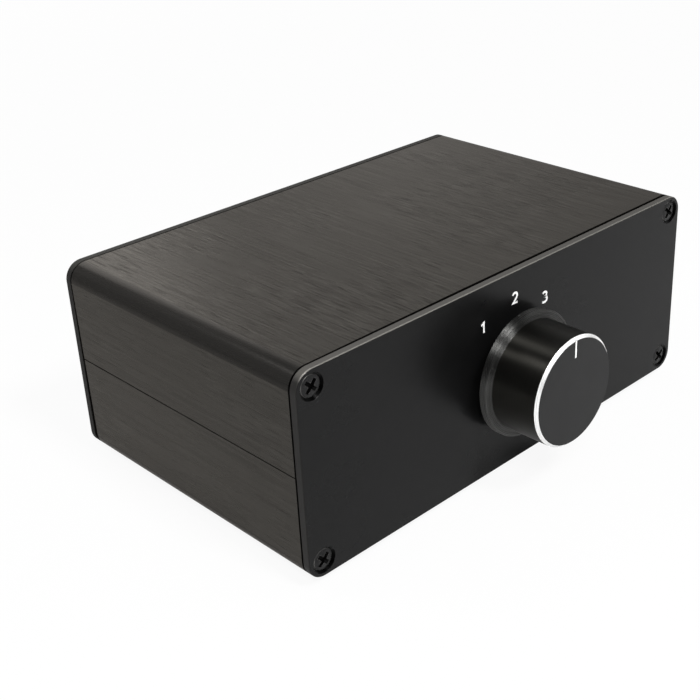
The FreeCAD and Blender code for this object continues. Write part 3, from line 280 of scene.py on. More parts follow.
def handled(tree, spot, look, roughness):
    # the roughness with the marks of handling in it; look holds how large, how strong and how dull they are
    marks = useGroup(tree, handlingMarks, {"Vector": spot, "Size": look["markSize"], "Amount": look["markAmount"]})
    return calc(tree, "MULTIPLY_ADD", marks["Mask"], look["markDullness"], roughness)


# blends the edges towards a lighter tone, which is wear and painted highlight together
def wornAndHighlitEdges(tree, spot, look, tone, wornHighlitTone):
    wornAndHighlit = useGroup(tree, edgeWearAndHighlight, {"Vector": spot, "Breadth": look["wearHighlightBreadth"], "Amount": look["wearHighlightAmount"]})
    return blendColors(tree, wornAndHighlit["Mask"], tone, wornHighlitTone)


# the near-black gap colour is painted shade for the gaps at the joints and the seam
shellLook = {"dark": (0.015, 0.0141, 0.0126), "light": (0.063, 0.0598, 0.0539), "corner": (0.019, 0.0182, 0.017),
             "wornHighlitEdge": (0.16, 0.155, 0.145), "gapShade": (0.002, 0.002, 0.002), "metallic": 0.7, "specular": 0.22,
             "tint": (0.68, 0.65, 0.62, 1.0), "streakWidth": 0.3, "streakLength": 12.0, "dashes": 1.15,
             "sideDashes": 0.6, "sideStreaks": 0.6, "sideDepth": 0.4, "bump": 0.02, "cornerBump": 0.2,
             "wearHighlightBreadth": 0.35, "wearHighlightAmount": 0.35, "markSize": 32.0, "markAmount": 0.25, "markDullness": 0.06,
             "roughness": 0.3, "streakShine": 0.08, "frontJoint": (-80.0, -20.0, 0.4, 0.85),
             "rearJoint": (casing["underside"], casing["top"], 1.4, 0.4), "seam": 34.4, "seamWidth": 0.16}


def brushedShell():
    look = shellLook
    material, tree, shader = newFinish("brushedBlackAnodised", {"Specular IOR Level": look["specular"],
                                                                "Specular Tint": look["tint"]})
    spot = inMillimetres(tree)
    across, along, up = addNode(tree, "ShaderNodeSeparateXYZ", {0: spot}).outputs
    # the sides are brushed more evenly than the top, and the rounded corners aren't brushed
    atSide = calc(tree, "GREATER_THAN", calc(tree, "ABSOLUTE", across), casing["halfWidth"] - look["sideDepth"])
    dashes = calc(tree, "MULTIPLY_ADD", atSide, look["sideDashes"] - look["dashes"], look["dashes"])
    grain = useGroup(tree, brushGrain, {"Vector": spot, "Width": look["streakWidth"], "Length": look["streakLength"],
                                        "Dashes": dashes})
    streaks = calc(tree, "MULTIPLY_ADD", calc(tree, "SUBTRACT", grain["Tone"], 0.5),
                   calc(tree, "MULTIPLY_ADD", atSide, look["sideStreaks"] - 1.0, 1.0), 0.5)
    tone = blendColors(tree, streaks, look["dark"], look["light"])
    corner = useGroup(tree, casingRim, {"Vector": spot})["Corner"]
    tone = blendColors(tree, corner, tone, look["corner"])
    # lighter edges: wear and painted highlight
    tone = wornAndHighlitEdges(tree, spot, look, tone, look["wornHighlitEdge"])
    # painted shade: black, fully rough and fully metallic in the gaps at the joints to the two plates, which open a
    # little to the right and towards the bottom, and in the shells' seam
    opening = remap(tree, across, *look["frontJoint"])
    atFront = calc(tree, "LESS_THAN", calc(tree, "SUBTRACT", along, opening), casing["frontFace"] + casing["plate"])
    opening = remap(tree, up, *look["rearJoint"])
    atRear = calc(tree, "GREATER_THAN", calc(tree, "ADD", along, opening), casing["rearFace"] - casing["plate"])
    atSeam = calc(tree, "COMPARE", up, look["seam"], look["seamWidth"])
    gapShadeMask = calc(tree, "MAXIMUM", atSeam, calc(tree, "MAXIMUM", atFront, atRear))
    tree.links.new(blendColors(tree, gapShadeMask, tone, look["gapShade"]), shader["Base Color"])
    tree.links.new(calc(tree, "MULTIPLY_ADD", gapShadeMask, 1.0 - look["metallic"], look["metallic"]), shader["Metallic"])
    rough = calc(tree, "MULTIPLY_ADD", grain["Tone"], -look["streakShine"], look["roughness"])
    tree.links.new(calc(tree, "MAXIMUM", handled(tree, spot, look, rough), gapShadeMask), shader["Roughness"])
    level = calc(tree, "MULTIPLY_ADD", corner, look["cornerBump"] - 1.0, 1.0)
    addBump(tree, shader, calc(tree, "MULTIPLY", grain["Height"], level), look["bump"])
    return material


# the near-black recess colour is painted shade; the cut's lighter line and top are painted highlights, and its darker
# side colour is painted shade
plateLook = {"face": (0.0032, 0.0032, 0.0033), "faceLight": (0.0052, 0.0052, 0.0053), "recess": (0.002, 0.002, 0.002),
             "cut": (0.105, 0.1, 0.092), "cutLine": (0.2, 0.192, 0.176), "cutShadedSide": (0.028, 0.027, 0.026),
             "rearCut": (0.045, 0.0435, 0.04), "rearCutLine": (0.055, 0.053, 0.05), "specular": 0.14,
             "roughness": 0.27, "cutMetallic": 0.75, "faceDepth": (0.04, 0.1), "rim": 0.4,
             "lineDepth": (0.3, 0.55, 1.0, 0.0), "litTopSpan": (62.6, 64.4), "grain": 0.12, "bump": 0.002,
             "markSize": 26.0, "markAmount": 0.6, "markDullness": 0.08}


def satinPlate(name, outerFace, outwards, cut, sawn):
    # smooth black face, and lighter saw-cut edges round it; the edges carry painted highlights and painted shade, and
    # the recesses a painted shade
    look = plateLook
    material, tree, shader = newFinish(name, {"Specular IOR Level": look["specular"]})
    spot = inMillimetres(tree)
    _, depth, up = addNode(tree, "ShaderNodeSeparateXYZ", {0: spot}).outputs
    below = calc(tree, "MULTIPLY_ADD", depth, -outwards, outerFace * outwards)
    inset = useGroup(tree, casingRim, {"Vector": spot})["Inset"]
    behind = remap(tree, below, *look["faceDepth"])
    atEdge = calc(tree, "MULTIPLY", behind, calc(tree, "LESS_THAN", inset, look["rim"]))
    # painted shade: the recesses behind the face, such as the countersinks, are painted near black and made fully
    # metallic
    recessShadeMask = calc(tree, "MULTIPLY", behind, calc(tree, "GREATER_THAN", inset, look["rim"]))
    # painted highlight: a lighter line along the outer edge of the cut
    top = blendColors(tree, remap(tree, below, *look["lineDepth"]), look[cut], look[cut + "Line"])
    # painted light: the cut edge is painted lighter along the top of the plate and darker down its sides
    edge = blendColors(tree, remap(tree, up, *look["litTopSpan"]), look["cutShadedSide"], top)
    skin = useGroup(tree, mouldedSkin, {"Vector": spot, "Grain": look["grain"]})
    face = blendColors(tree, skin["Tone"], look["face"], look["faceLight"])
    face = blendColors(tree, recessShadeMask, face, look["recess"])
    tree.links.new(blendColors(tree, atEdge, face, edge), shader["Base Color"])
    metallic = calc(tree, "MULTIPLY_ADD", atEdge, look["cutMetallic"], recessShadeMask, clamp=True)
    tree.links.new(metallic, shader["Metallic"])
    rough = handled(tree, spot, look, look["roughness"])
    tree.links.new(calc(tree, "MULTIPLY_ADD", atEdge, sawn, rough), shader["Roughness"])
    addBump(tree, shader, skin["Height"], look["bump"])
    return material


knobLook = {
    "barrel": {"dark": (0.0012, 0.0012, 0.0012), "light": (0.003, 0.0029, 0.0027), "roughness": 0.36, "metallic": 0.0,
               "pitch": 0.5, "bump": 0.0004, "specular": 0.24, "stretch": 1.0, "tint": (1.0, 0.97, 0.86, 1.0)},
    "skirt": {"dark": (0.012, 0.012, 0.0118), "light": (0.17, 0.17, 0.165), "roughness": 0.44, "metallic": 1.0,
              "pitch": 0.16, "bump": 0.004, "specular": 0.4, "stretch": 1.0, "tint": white},
    "face": {"dark": (0.005, 0.005, 0.0052), "light": (0.0085, 0.0085, 0.0088), "roughness": 0.38, "metallic": 0.2,
             "pitch": 0.14, "bump": 0.0015, "specular": 0.26, "stretch": 0.0, "tint": white},
    "ring": {"dark": (0.86, 0.86, 0.855), "light": (0.96, 0.96, 0.955), "roughness": 0.3, "metallic": 0.6,
             "pitch": 0.2, "bump": 0.001, "specular": 0.5, "stretch": 0.0, "tint": white},
    "marks": {"markSize": 9.0, "markAmount": 0.5, "markDullness": 0.08},
}


def turnedFinish(name, part):
    # stretch draws the highlights out along the knob's axis, as fine turning marks do
    look = knobLook[part]
    material, tree, shader = newFinish(name, {"Metallic": look["metallic"], "Specular IOR Level": look["specular"],
                                              "Specular Tint": look["tint"], "Anisotropic": look["stretch"],
                                              "Anisotropic Rotation": 0.25})
    if look["stretch"]:
        turning = addNode(tree, "ShaderNodeTangent", direction_type="RADIAL", axis="Y")
        tree.links.new(turning.outputs[0], shader["Tangent"])
    spot = inMillimetres(tree, knobAxis)
    rings = useGroup(tree, turnedRings, {"Vector": spot, "Pitch": look["pitch"]})
    tree.links.new(blendColors(tree, rings["Tone"], look["dark"], look["light"]), shader["Base Color"])
    tree.links.new(handled(tree, spot, knobLook["marks"], look["roughness"]), shader["Roughness"])
    addBump(tree, shader, rings["Height"], look["bump"])
    return material


mouldedLook = {"wearHighlightBreadth": 0.22, "wearHighlightAmount": 0.7, "markSize": 7.0, "markAmount": 0.5, "markDullness": 0.14}


def mouldedFinish(name, dark, light, roughness, grain=0.25, bump=0.01, specular=0.5, wornHighlitTone=None):
    look = mouldedLook
    material, tree, shader = newFinish(name, {"Specular IOR Level": specular})
    spot = inMillimetres(tree)
    skin = useGroup(tree, mouldedSkin, {"Vector": spot, "Grain": grain})
    tone = blendColors(tree, skin["Tone"], dark, light)
    if wornHighlitTone:
        tone = wornAndHighlitEdges(tree, spot, look, tone, wornHighlitTone)
    tree.links.new(tone, shader["Base Color"])
    tree.links.new(handled(tree, spot, look, roughness), shader["Roughness"])
    addBump(tree, shader, skin["Height"], bump)
    return material


metalLook = {"dashes": 0.3, "bump": 0.003, "wearHighlightBreadth": 0.2, "wearHighlightAmount": 0.8, "markSize": 5.0, "markAmount": 0.6,
             "markDullness": 0.15}


def metalFinish(name, dark, light, roughness, width=0.12, length=2.5, wornHighlitTone=None):
    look = metalLook
    material, tree, shader = newFinish(name, {"Metallic": 1.0})
    spot = inMillimetres(tree)
    grain = useGroup(tree, brushGrain, {"Vector": spot, "Width": width, "Length": length, "Dashes": look["dashes"]})
    tone = blendColors(tree, grain["Tone"], dark, light)
    if wornHighlitTone:
        tone = wornAndHighlitEdges(tree, spot, look, tone, wornHighlitTone)
    tree.links.new(tone, shader["Base Color"])
    tree.links.new(handled(tree, spot, look, roughness), shader["Roughness"])
    addBump(tree, shader, grain["Height"], look["bump"])
    return material


finishes = {
    "shell": brushedShell(),
    "frontPlate": satinPlate("satinFrontPlate", casing["frontFace"], -1.0, "cut", sawn=0.3),
    "rearPlate": satinPlate("satinRearPlate", casing["rearFace"], 1.0, "rearCut", sawn=0.4),
    "barrel": turnedFinish("glossBlackBarrel", "barrel"),
    "skirt": turnedFinish("turnedBlackSkirt", "skirt"),
    "knobFace": turnedFinish("satinKnobFace", "face"),
    "ring": turnedFinish("brightCutRing", "ring"),
    "whiteInk": mouldedFinish("whiteInk", (0.93, 0.93, 0.92), (0.98, 0.98, 0.97), 0.42, grain=0.12, bump=0.003),
    "blackScrew": metalFinish("blackOxideSteel", (0.014, 0.014, 0.0145), (0.04, 0.04, 0.04), 0.24, width=0.2,
                              length=1.0, wornHighlitTone=(0.36, 0.35, 0.34)),
    # painted shade: near-black faces inside the screws' cross recesses
    "screwRecessShade": metalFinish("paintedShadeScrewRecess", (0.002, 0.002, 0.002), (0.005, 0.005, 0.005), 0.5, width=0.2,
                               length=1.0),
    # painted highlight: a lighter ring on the screw heads' rims
    "screwRimHighlight": metalFinish("highlitScrewRim", (0.05, 0.049, 0.048), (0.16, 0.157, 0.152), 0.26, width=0.3,
                            length=0.6),
    "rubber": mouldedFinish("footRubber", (0.012, 0.012, 0.012), (0.022, 0.022, 0.021), 0.72, grain=0.3, bump=0.02,
                            specular=0.3),
    # the lighter edges of the sockets and inserts are painted highlights as well as wear
    "socket": mouldedFinish("socketPolyamide", (0.014, 0.014, 0.0145), (0.024, 0.024, 0.0245), 0.4, grain=0.2,
                            bump=0.008, wornHighlitTone=(0.085, 0.085, 0.084)),
    "insert": mouldedFinish("insertPolyamide", (0.009, 0.009, 0.0095), (0.016, 0.016, 0.0165), 0.5, grain=0.16,
                            bump=0.006, wornHighlitTone=(0.05, 0.05, 0.05)),
    "tab": metalFinish("nickelTab", (0.42, 0.41, 0.39), (0.62, 0.6, 0.57), 0.27, width=0.15, length=3.0,
                       wornHighlitTone=(0.75, 0.73, 0.7)),
    "silverContact": metalFinish("silverPlatedContact", (0.6, 0.57, 0.5), (0.8, 0.77, 0.7), 0.22),
    "steel": metalFinish("brightSteel", (0.42, 0.42, 0.43), (0.62, 0.62, 0.63), 0.25),
    "zinc": metalFinish("zincPlate", (0.5, 0.5, 0.49), (0.7, 0.7, 0.69), 0.34, width=0.8, length=1.2),
    "nickelBrass": metalFinish("nickelPlatedBrass", (0.5, 0.49, 0.45), (0.68, 0.66, 0.62), 0.24),
    "switchPlastic": mouldedFinish("switchPlastic", (0.018, 0.018, 0.02), (0.032, 0.032, 0.035), 0.45),
    "nylon": mouldedFinish("whiteNylon", (0.66, 0.65, 0.6), (0.78, 0.77, 0.73), 0.4),
    "phenolic": mouldedFinish("phenolicLaminate", (0.2, 0.105, 0.045), (0.33, 0.19, 0.09), 0.5, grain=0.4),
    "board": mouldedFinish("solderMask", (0.008, 0.09, 0.035), (0.02, 0.15, 0.06), 0.33, grain=0.5, bump=0.003),
    "ribbon": mouldedFinish("ribbonVinyl", (0.4, 0.4, 0.42), (0.52, 0.52, 0.54), 0.5, grain=0.5),
}
print("finishes built:", len(finishes))

nodeFinishes = {
    "shell": ["top_shell", "bottom_shell"],
    "frontPlate": ["front_panel"],
    "rearPlate": ["rear_panel"],
    "blackScrew": ["knob_grub_screw", "socket_screws"],
    "steel": ["switch_shaft", "shaft_clip", "panel_washer", "detent_balls", "detent_springs", "switch_tie_screws"],
    "zinc": ["switch_cover"],
    "nickelBrass": ["panel_nut"],
    "switchPlastic": ["detent_housing", "switch_board_header", "socket_board_header", "front_ribbon_plug",
                      "rear_ribbon_plug"],
    "nylon": ["detent_carrier", "deck_1_rotor", "deck_2_rotor"],
    "phenolic": ["deck_1_stator", "deck_2_stator"],
    "silverContact": ["deck_1_wipers", "deck_2_wipers", "deck_1_contacts", "deck_2_contacts", "input_contacts"],
    "board": ["switch_board", "socket_board"],
    "ribbon": ["ribbon_cable"],
    "socket": [name for name in cadNodes if name.endswith("_socket")],
    "insert": [name for name in cadNodes if name.endswith("_insert")],
}
for finish, names in nodeFinishes.items():
    for name in names:
        cad = cadNodes[name]
        if not cad.material_slots:
            cad.data.materials.append(finishes[finish])
        for materialSlot in cad.material_slots:
            materialSlot.material = finishes[finish]


# mesh helpers: shapes are drawn in millimetres and stored in metres

smoothBelow = math.radians(32.0)  # sharper edges between two faces are shaded sharp
rounding = {"share": 0.45, "least": 0.004, "straight": math.radians(170)}


def link(name, data):
    made = bpy.data.objects.new(name, data)
    bpy.context.scene.collection.objects.link(made)
    return made


def storeMesh(name, shape, materials):
    bmesh.ops.remove_doubles(shape, verts=shape.verts, dist=1e-4)
    bmesh.ops.recalc_face_normals(shape, faces=shape.faces)
    for edge in shape.edges:
        if len(edge.link_faces) == 2:
            edge.smooth = edge.calc_face_angle() < smoothBelow
    for face in shape.faces:
        face.smooth = True
    bmesh.ops.scale(shape, vec=(mm, mm, mm), verts=shape.verts)
    mesh = bpy.data.meshes.new(name)
    shape.to_mesh(mesh)
    shape.free()
    for material in materials:
        mesh.materials.append(material)
    return link(name, mesh)


def softened(outline, radius, steps):
    # a small arc in place of each inner corner of an open outline of (radius, depth, finish) points
    points = [outline[0]]
    for before, corner, after in zip(outline, outline[1:], outline[2:]):
        here = Vector(corner[:2])
        back, forth = Vector(before[:2]) - here, Vector(after[:2]) - here
        angle = back.angle(forth)
        longest = min(back.length * rounding["share"], forth.length * rounding["share"])
        reach = min(radius / math.tan(angle / 2), longest)
        if angle > rounding["straight"] or reach < rounding["least"]:
            points.append(corner)
            continue
        first, last = here + back.normalized() * reach, here + forth.normalized() * reach
        for step in range(steps + 1):
            t = step / steps
            spot = first * (1 - t) ** 2 + here * 2 * t * (1 - t) + last * t ** 2
            points.append((spot.x, spot.y, corner[2] if step else before[2]))
    return points + [outline[-1]]


def spin(outline, segments, centre=Vector((0.0, 0.0, 0.0))):
    # turns an outline of (radius, depth, finish) points round the line along Y through centre
    shape = bmesh.new()
    turns = [2 * math.pi * k / segments for k in range(segments)]
    rings = []
    for radius, depth, _ in outline:
        if radius < 1e-6:
            rings.append([shape.verts.new((centre.x, depth, centre.z))] * segments)
            continue
        rings.append([shape.verts.new((centre.x + radius * math.cos(turn), depth,
                                       centre.z + radius * math.sin(turn))) for turn in turns])
    for index, (ring, after) in enumerate(zip(rings, rings[1:])):
        for k in range(segments):
            corners = [ring[k], ring[(k + 1) % segments], after[(k + 1) % segments], after[k]]
            corners = [v for n, v in enumerate(corners) if v not in corners[:n]]
            if len(corners) > 2:
                shape.faces.new(corners).material_index = outline[index][2]
    return shape


def joinLoops(shape, first, last):
    # a closed prism between two loops of points
    shape.faces.new(first)
    shape.faces.new(last)
    for k in range(len(first)):
        after = (k + 1) % len(first)
        shape.faces.new((first[k], first[after], last[after], last[k]))


def addBox(shape, low, high):
    for vert in bmesh.ops.create_cube(shape, size=1.0)["verts"]:
        vert.co = Vector([low[i] + (high[i] - low[i]) * (vert.co[i] + 0.5) for i in range(3)])


def bakeModifiers(made):
    bpy.context.view_layer.update()
    seen = made.evaluated_get(bpy.context.evaluated_depsgraph_get())
    mesh = bpy.data.meshes.new_from_object(seen)
    made.modifiers.clear()
    made.data = mesh


def carve(made, tool):
    cutter = made.modifiers.new("carve", "BOOLEAN")
    cutter.operation = "DIFFERENCE"
    cutter.solver = "EXACT"
    cutter.object = tool
    bakeModifiers(made)
    bpy.data.objects.remove(tool)


def softenEdges(made, width, segments, fromAngle):
    soft = made.modifiers.new("soft", "BEVEL")
    soft.width = width * mm
    soft.segments = segments
    soft.limit_method = "ANGLE"
    soft.angle_limit = math.radians(fromAngle)
    bakeModifiers(made)


# knob

knobSizes = {"face": -64.1, "back": -45.3, "skirtFront": -47.9, "barrel": 17.0, "skirt": 19.5, "ring": 0.85,
             "edge": 0.25, "groove": 0.22, "grooves": 3, "bore": 3.05, "boreEnd": -58.35, "neck": 0.12,
             "turnedLines": (18.6, 17.9), "turnedLine": 0.1, "ringLine": ((0.2, 0.0), (0.29, 0.09), (0.38, 0.0)),
             "rounding": 0.06, "segments": 192, "lineWidth": 0.72, "lineLength": 5.3, "lineDepth": 0.4,
             "lineClearance": 0.05, "paintBelow": 0.04}


def makeKnob():
    s = knobSizes
    black, skirt, face, bright = range(4)
    rim, front, cut = s["skirt"], s["skirtFront"], s["turnedLine"]
    pitch = (s["back"] - front) / (s["grooves"] + 1)
    outline = [(0.0, s["boreEnd"], black), (s["bore"], s["boreEnd"], black), (s["bore"], s["back"], skirt),
               (rim - s["edge"], s["back"], skirt), (rim, s["back"] - s["edge"], skirt)]
    for ring in range(1, s["grooves"] + 1):
        middle = s["back"] - pitch * ring
        outline += [(rim, middle + s["groove"] / 2, skirt), (rim - s["groove"], middle, skirt),
                    (rim, middle - s["groove"] / 2, skirt)]
    outline += [(rim, front + s["edge"], skirt), (rim - s["edge"], front, skirt)]
    for radius in s["turnedLines"]:  # two turned lines on the front of the skirt
        outline += [(radius + cut, front, skirt), (radius, front + cut, skirt), (radius - cut, front, skirt)]
    outline += [(s["barrel"] + s["neck"], front, skirt), (s["barrel"], front - s["neck"], black),
                (s["barrel"], s["face"] + s["ring"], bright)]
    for reach, sunk in s["ringLine"]:  # a fine line turned in the bright ring
        outline.append((s["barrel"] - reach - sunk, s["face"] + s["ring"] - reach + sunk, bright))
    outline += [(s["barrel"] - s["ring"], s["face"], face), (0.0, s["face"], face)]
    shape = spin(softened(outline, s["rounding"], 3), s["segments"], knobAxis)
    knob = storeMesh("turnedKnob", shape, [finishes[key] for key in ("barrel", "skirt", "knobFace", "ring")])
    top = knobAxis.z + s["barrel"] - s["ring"]
    slot = bmesh.new()
    addBox(slot, (-s["lineWidth"] / 2, s["face"] - 1.0, top - s["lineLength"]),
           (s["lineWidth"] / 2, s["face"] + s["lineDepth"], top + s["lineClearance"]))
    carve(knob, storeMesh("lineSlot", slot, [finishes["knobFace"]]))
    for polygon in knob.data.polygons:  # no shading from the slot's corners across the flat face
        if polygon.normal.y < -0.999:
            polygon.use_smooth = False
    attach(knob, "selector")
    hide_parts("selector_knob")
    paint = bmesh.new()
    addBox(paint, (-s["lineWidth"] / 2, s["face"] + s["paintBelow"], top - s["lineLength"]),
           (s["lineWidth"] / 2, s["face"] + s["lineDepth"], top))
    line = storeMesh("pointerPaint", paint, [finishes["whiteInk"]])
    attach(line, "selector")
    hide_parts("knob_pointer_line")
    return knob


knob = makeKnob()
print("knob:", len(knob.data.polygons), "faces")


# the geometry tree that seats screws, feet and pins

def seatTree():
    tree = bpy.data.node_groups.new("seatPieces", "GeometryNodeTree")
    for title, kind, way in (("Seats", "NodeSocketGeometry", "INPUT"), ("Piece", "NodeSocketObject", "INPUT"),
                             ("Scale", "NodeSocketFloat", "INPUT"), ("Finish", "NodeSocketMaterial", "INPUT"),
                             ("Hollow shade finish", "NodeSocketMaterial", "INPUT"),
                             ("Rim highlight finish", "NodeSocketMaterial", "INPUT"),
                             ("Pieces", "NodeSocketGeometry", "OUTPUT")):
        tree.interface.new_socket(title, in_out=way, socket_type=kind)
    given = tree.nodes.new("NodeGroupInput").outputs
    result = tree.nodes.new("NodeGroupOutput").inputs
    piece = addNode(tree, "GeometryNodeObjectInfo", {"Object": given["Piece"]}).outputs["Geometry"]
    facing = addNode(tree, "GeometryNodeInputNamedAttribute", {"Name": "facing"}, data_type="FLOAT_VECTOR")
    scale = addNode(tree, "ShaderNodeCombineXYZ", {axis: given["Scale"] for axis in "XYZ"}).outputs[0]
    seated = addNode(tree, "GeometryNodeInstanceOnPoints",
                     {"Points": given["Seats"], "Instance": piece, "Rotation": facing.outputs["Attribute"],
                      "Scale": scale})
    real = addNode(tree, "GeometryNodeRealizeInstances", {0: seated.outputs["Instances"]})
    done = addNode(tree, "GeometryNodeSetMaterial", {"Geometry": real.outputs[0], "Material": given["Finish"]})
    # the hollow faces get a painted shade and the rim faces a lighter painted highlight
    for mark, title in (("hollow", "Hollow shade finish"), ("rim", "Rim highlight finish")):
        marked = addNode(tree, "GeometryNodeInputNamedAttribute", {"Name": mark}, data_type="BOOLEAN")
        done = addNode(tree, "GeometryNodeSetMaterial", {"Geometry": done.outputs[0], "Material": given[title],
                                                         "Selection": marked.outputs["Attribute"]})
    tree.links.new(done.outputs[0], result["Pieces"])
    return tree


seatPieces = seatTree()


def seat(name, piece, seats, finish, body, replaced):
    # seats: (place in millimetres, turns round X, Y and Z in degrees)
    mesh = bpy.data.meshes.new(name)
    mesh.from_pydata([tuple(value * mm for value in place) for place, _ in seats], [], [])
    facing = mesh.attributes.new("facing", "FLOAT_VECTOR", "POINT")
    for item, (_, turns) in zip(facing.data, seats):
        item.vector = [math.radians(value) for value in turns]
    made = link(name, mesh)
    modifier = made.modifiers.new("seat", "NODES")
    modifier.node_group = seatPieces
    sockets = {item.name: item.identifier for item in seatPieces.interface.items_tree if item.in_out == "INPUT"}
    modifier[sockets["Piece"]] = piece
    modifier[sockets["Scale"]] = 1.0
    modifier[sockets["Finish"]] = finish
    modifier[sockets["Hollow shade finish"]] = finishes["screwRecessShade"]
    modifier[sockets["Rim highlight finish"]] = finishes["screwRimHighlight"]
    bakeModifiers(made)
    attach(made, body)
    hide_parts(replaced)


# casing screws

casingScrew = {"head": 3.4, "sunk": 0.55, "dome": 0.3, "domeShare": 0.9, "domeSteps": 8, "rim": (0.3, 0.6),
               "cone": 2.3, "shank": 1.5, "length": 10.0, "segments": 64, "rounding": 0.12, "edge": 0.07,
               "cross": 2.4, "arm": 0.62, "deep": 1.2, "above": 0.6, "taper": (1.12, 0.7),
               "inset": 77.2, "low": 7.5, "high": 60.0,
               "frontTurns": (43.0, 38.0, 46.0, 50.0), "rearTurns": (30.0, 75.0, 12.0, 52.0)}


def crossOutline(reach, half):
    return [(half, half), (half, reach), (-half, reach), (-half, half), (-reach, half), (-reach, -half),
            (-half, -half), (-half, -reach), (half, -reach), (half, -half), (reach, -half), (reach, half)]


def makeScrew():
    # a turned head with a tapered cross recess; the head faces -Y and the panel's face is at depth 0
    s = casingScrew
    top = s["sunk"] - s["dome"]
    outline = [(0.0, top, 0)]
    for step in range(1, s["domeSteps"] + 1):
        t = step / s["domeSteps"]
        outline.append((s["head"] * s["domeShare"] * t, top + s["dome"] * t * t, 2 if t == 1.0 else 0))
    outline += [(s["head"], s["sunk"] + depth, 0) for depth in s["rim"]]
    outline += [(s["shank"], s["sunk"] + s["cone"], 0), (s["shank"], s["length"], 0), (0.0, s["length"], 0)]
    # the second slot is painted shade for the cross recess, the third a lighter painted highlight on the rim
    slots = [finishes["blackScrew"], finishes["screwRecessShade"], finishes["screwRimHighlight"]]
    screw = storeMesh("casingScrew", spin(softened(outline, s["rounding"], 3), s["segments"]), slots)
    tool = bmesh.new()
    joinLoops(tool, *([tool.verts.new((x, y, z)) for x, z in crossOutline(s["cross"] * grow, s["arm"] * grow)]
                      for y, grow in zip((top - s["above"], top + s["deep"]), s["taper"])))
    for face in tool.faces:
        face.material_index = 1
    carve(screw, storeMesh("casingScrewRecess", tool, slots))
    for index, mark in ((1, "hollow"), (2, "rim")):
        marked = screw.data.attributes.new(mark, "BOOLEAN", "FACE")
        for polygon, item in zip(screw.data.polygons, marked.data):
            item.value = polygon.material_index == index
    softenEdges(screw, s["edge"], 2, 40)
    for polygon in screw.data.polygons:
        polygon.use_smooth = True
    return screw


def makeCasingScrews():
    s = casingScrew
    piece = makeScrew()
    corners = [(side * s["inset"], height) for height in (s["high"], s["low"]) for side in (-1, 1)]
    front = [((x, casing["frontFace"], z), (0.0, turn, 0.0)) for (x, z), turn in zip(corners, s["frontTurns"])]
    rear = [((x, casing["rearFace"], z), (0.0, turn, 180.0)) for (x, z), turn in zip(corners, s["rearTurns"])]
    seat("frontPanelScrews", piece, front, finishes["blackScrew"], "casing", "front_panel_screws")
    seat("rearPanelScrews", piece, rear, finishes["blackScrew"], "casing", "rear_panel_screws")
    bpy.data.objects.remove(piece)


makeCasingScrews()
print("casing screws seated")


# feet

footSizes = {"top": 6.0, "bottom": 5.4, "height": 2.5, "edge": 0.5, "dimple": 2.2, "dimpleSlope": 0.6,
             "dimpleDepth": 0.5, "segments": 72, "x": 66.5, "frontY": -27.9, "rearY": 48.1}


def makeFeet():
    s = footSizes
    outline = [(0.0, 0.0, 0), (s["top"], 0.0, 0), (s["bottom"], s["height"], 0), (s["dimple"], s["height"], 0),
               (s["dimple"] - s["dimpleSlope"], s["height"] - s["dimpleDepth"], 0),
               (0.0, s["height"] - s["dimpleDepth"], 0)]
    piece = storeMesh("foot", spin(softened(outline, s["edge"], 5), s["segments"]), [finishes["rubber"]])
    seats = [((side * s["x"], y, s["height"]), (-90.0, 0.0, 0.0))
             for side in (-1, 1) for y in (s["frontY"], s["rearY"])]
    seat("rubberFeet", piece, seats, finishes["rubber"], "casing", "rubber_feet")
    bpy.data.objects.remove(piece)


makeFeet()
print("feet seated")


# output pins and release tabs

# the nose is a list of (share of the radius, depth) points
pinSizes = {"radius": 1.2, "tail": 0.6, "tip": 60.2, "length": 15.8, "reach": 23.7, "circle": 4.03, "segments": 40,
            "nose": ((0.45, 0.02), (0.86, 0.32), (1.0, 1.0)), "rounding": 0.35, "columnX": 54.0,
            "levels": (20.25, 47.25), "angles": (90.0, 210.0, 330.0)}


def makeOutputPins():
    s = pinSizes
    outline = [(0.0, 0.0, 0)] + [(s["radius"] * share, depth, 0) for share, depth in s["nose"]]
    outline += [(s["radius"], s["length"], 0), (s["tail"], s["length"], 0), (s["tail"], s["reach"], 0),
                (0.0, s["reach"], 0)]
    shape = spin(softened(outline, s["rounding"], 5), s["segments"])
    piece = storeMesh("pin", shape, [finishes["silverContact"]])
    seats = []
    for level in s["levels"]:
        for angle in s["angles"]:
            turn = math.radians(angle)
            place = (s["columnX"] - s["circle"] * math.cos(turn), s["tip"], level - s["circle"] * math.sin(turn))
            seats.append((place, (0.0, 0.0, 180.0)))
    seat("outputPins", piece, seats, finishes["silverContact"], "casing", "output_pins")
    bpy.data.objects.remove(piece)


tabSizes = {"half": 4.35, "low": 10.0, "high": 12.15, "latchLow": 9.0, "latchHalf": 2.175, "back": 53.5,
            "latchBack": 56.2, "latchFront": 58.0, "overlap": 0.2, "front": 64.1, "grooves": 3, "groove": 0.16,
            "edge": 0.18, "columns": {"input_1": -54.0, "input_2": -18.0, "input_3": 18.0},
            "levels": {"right": 20.25, "left": 47.25}}


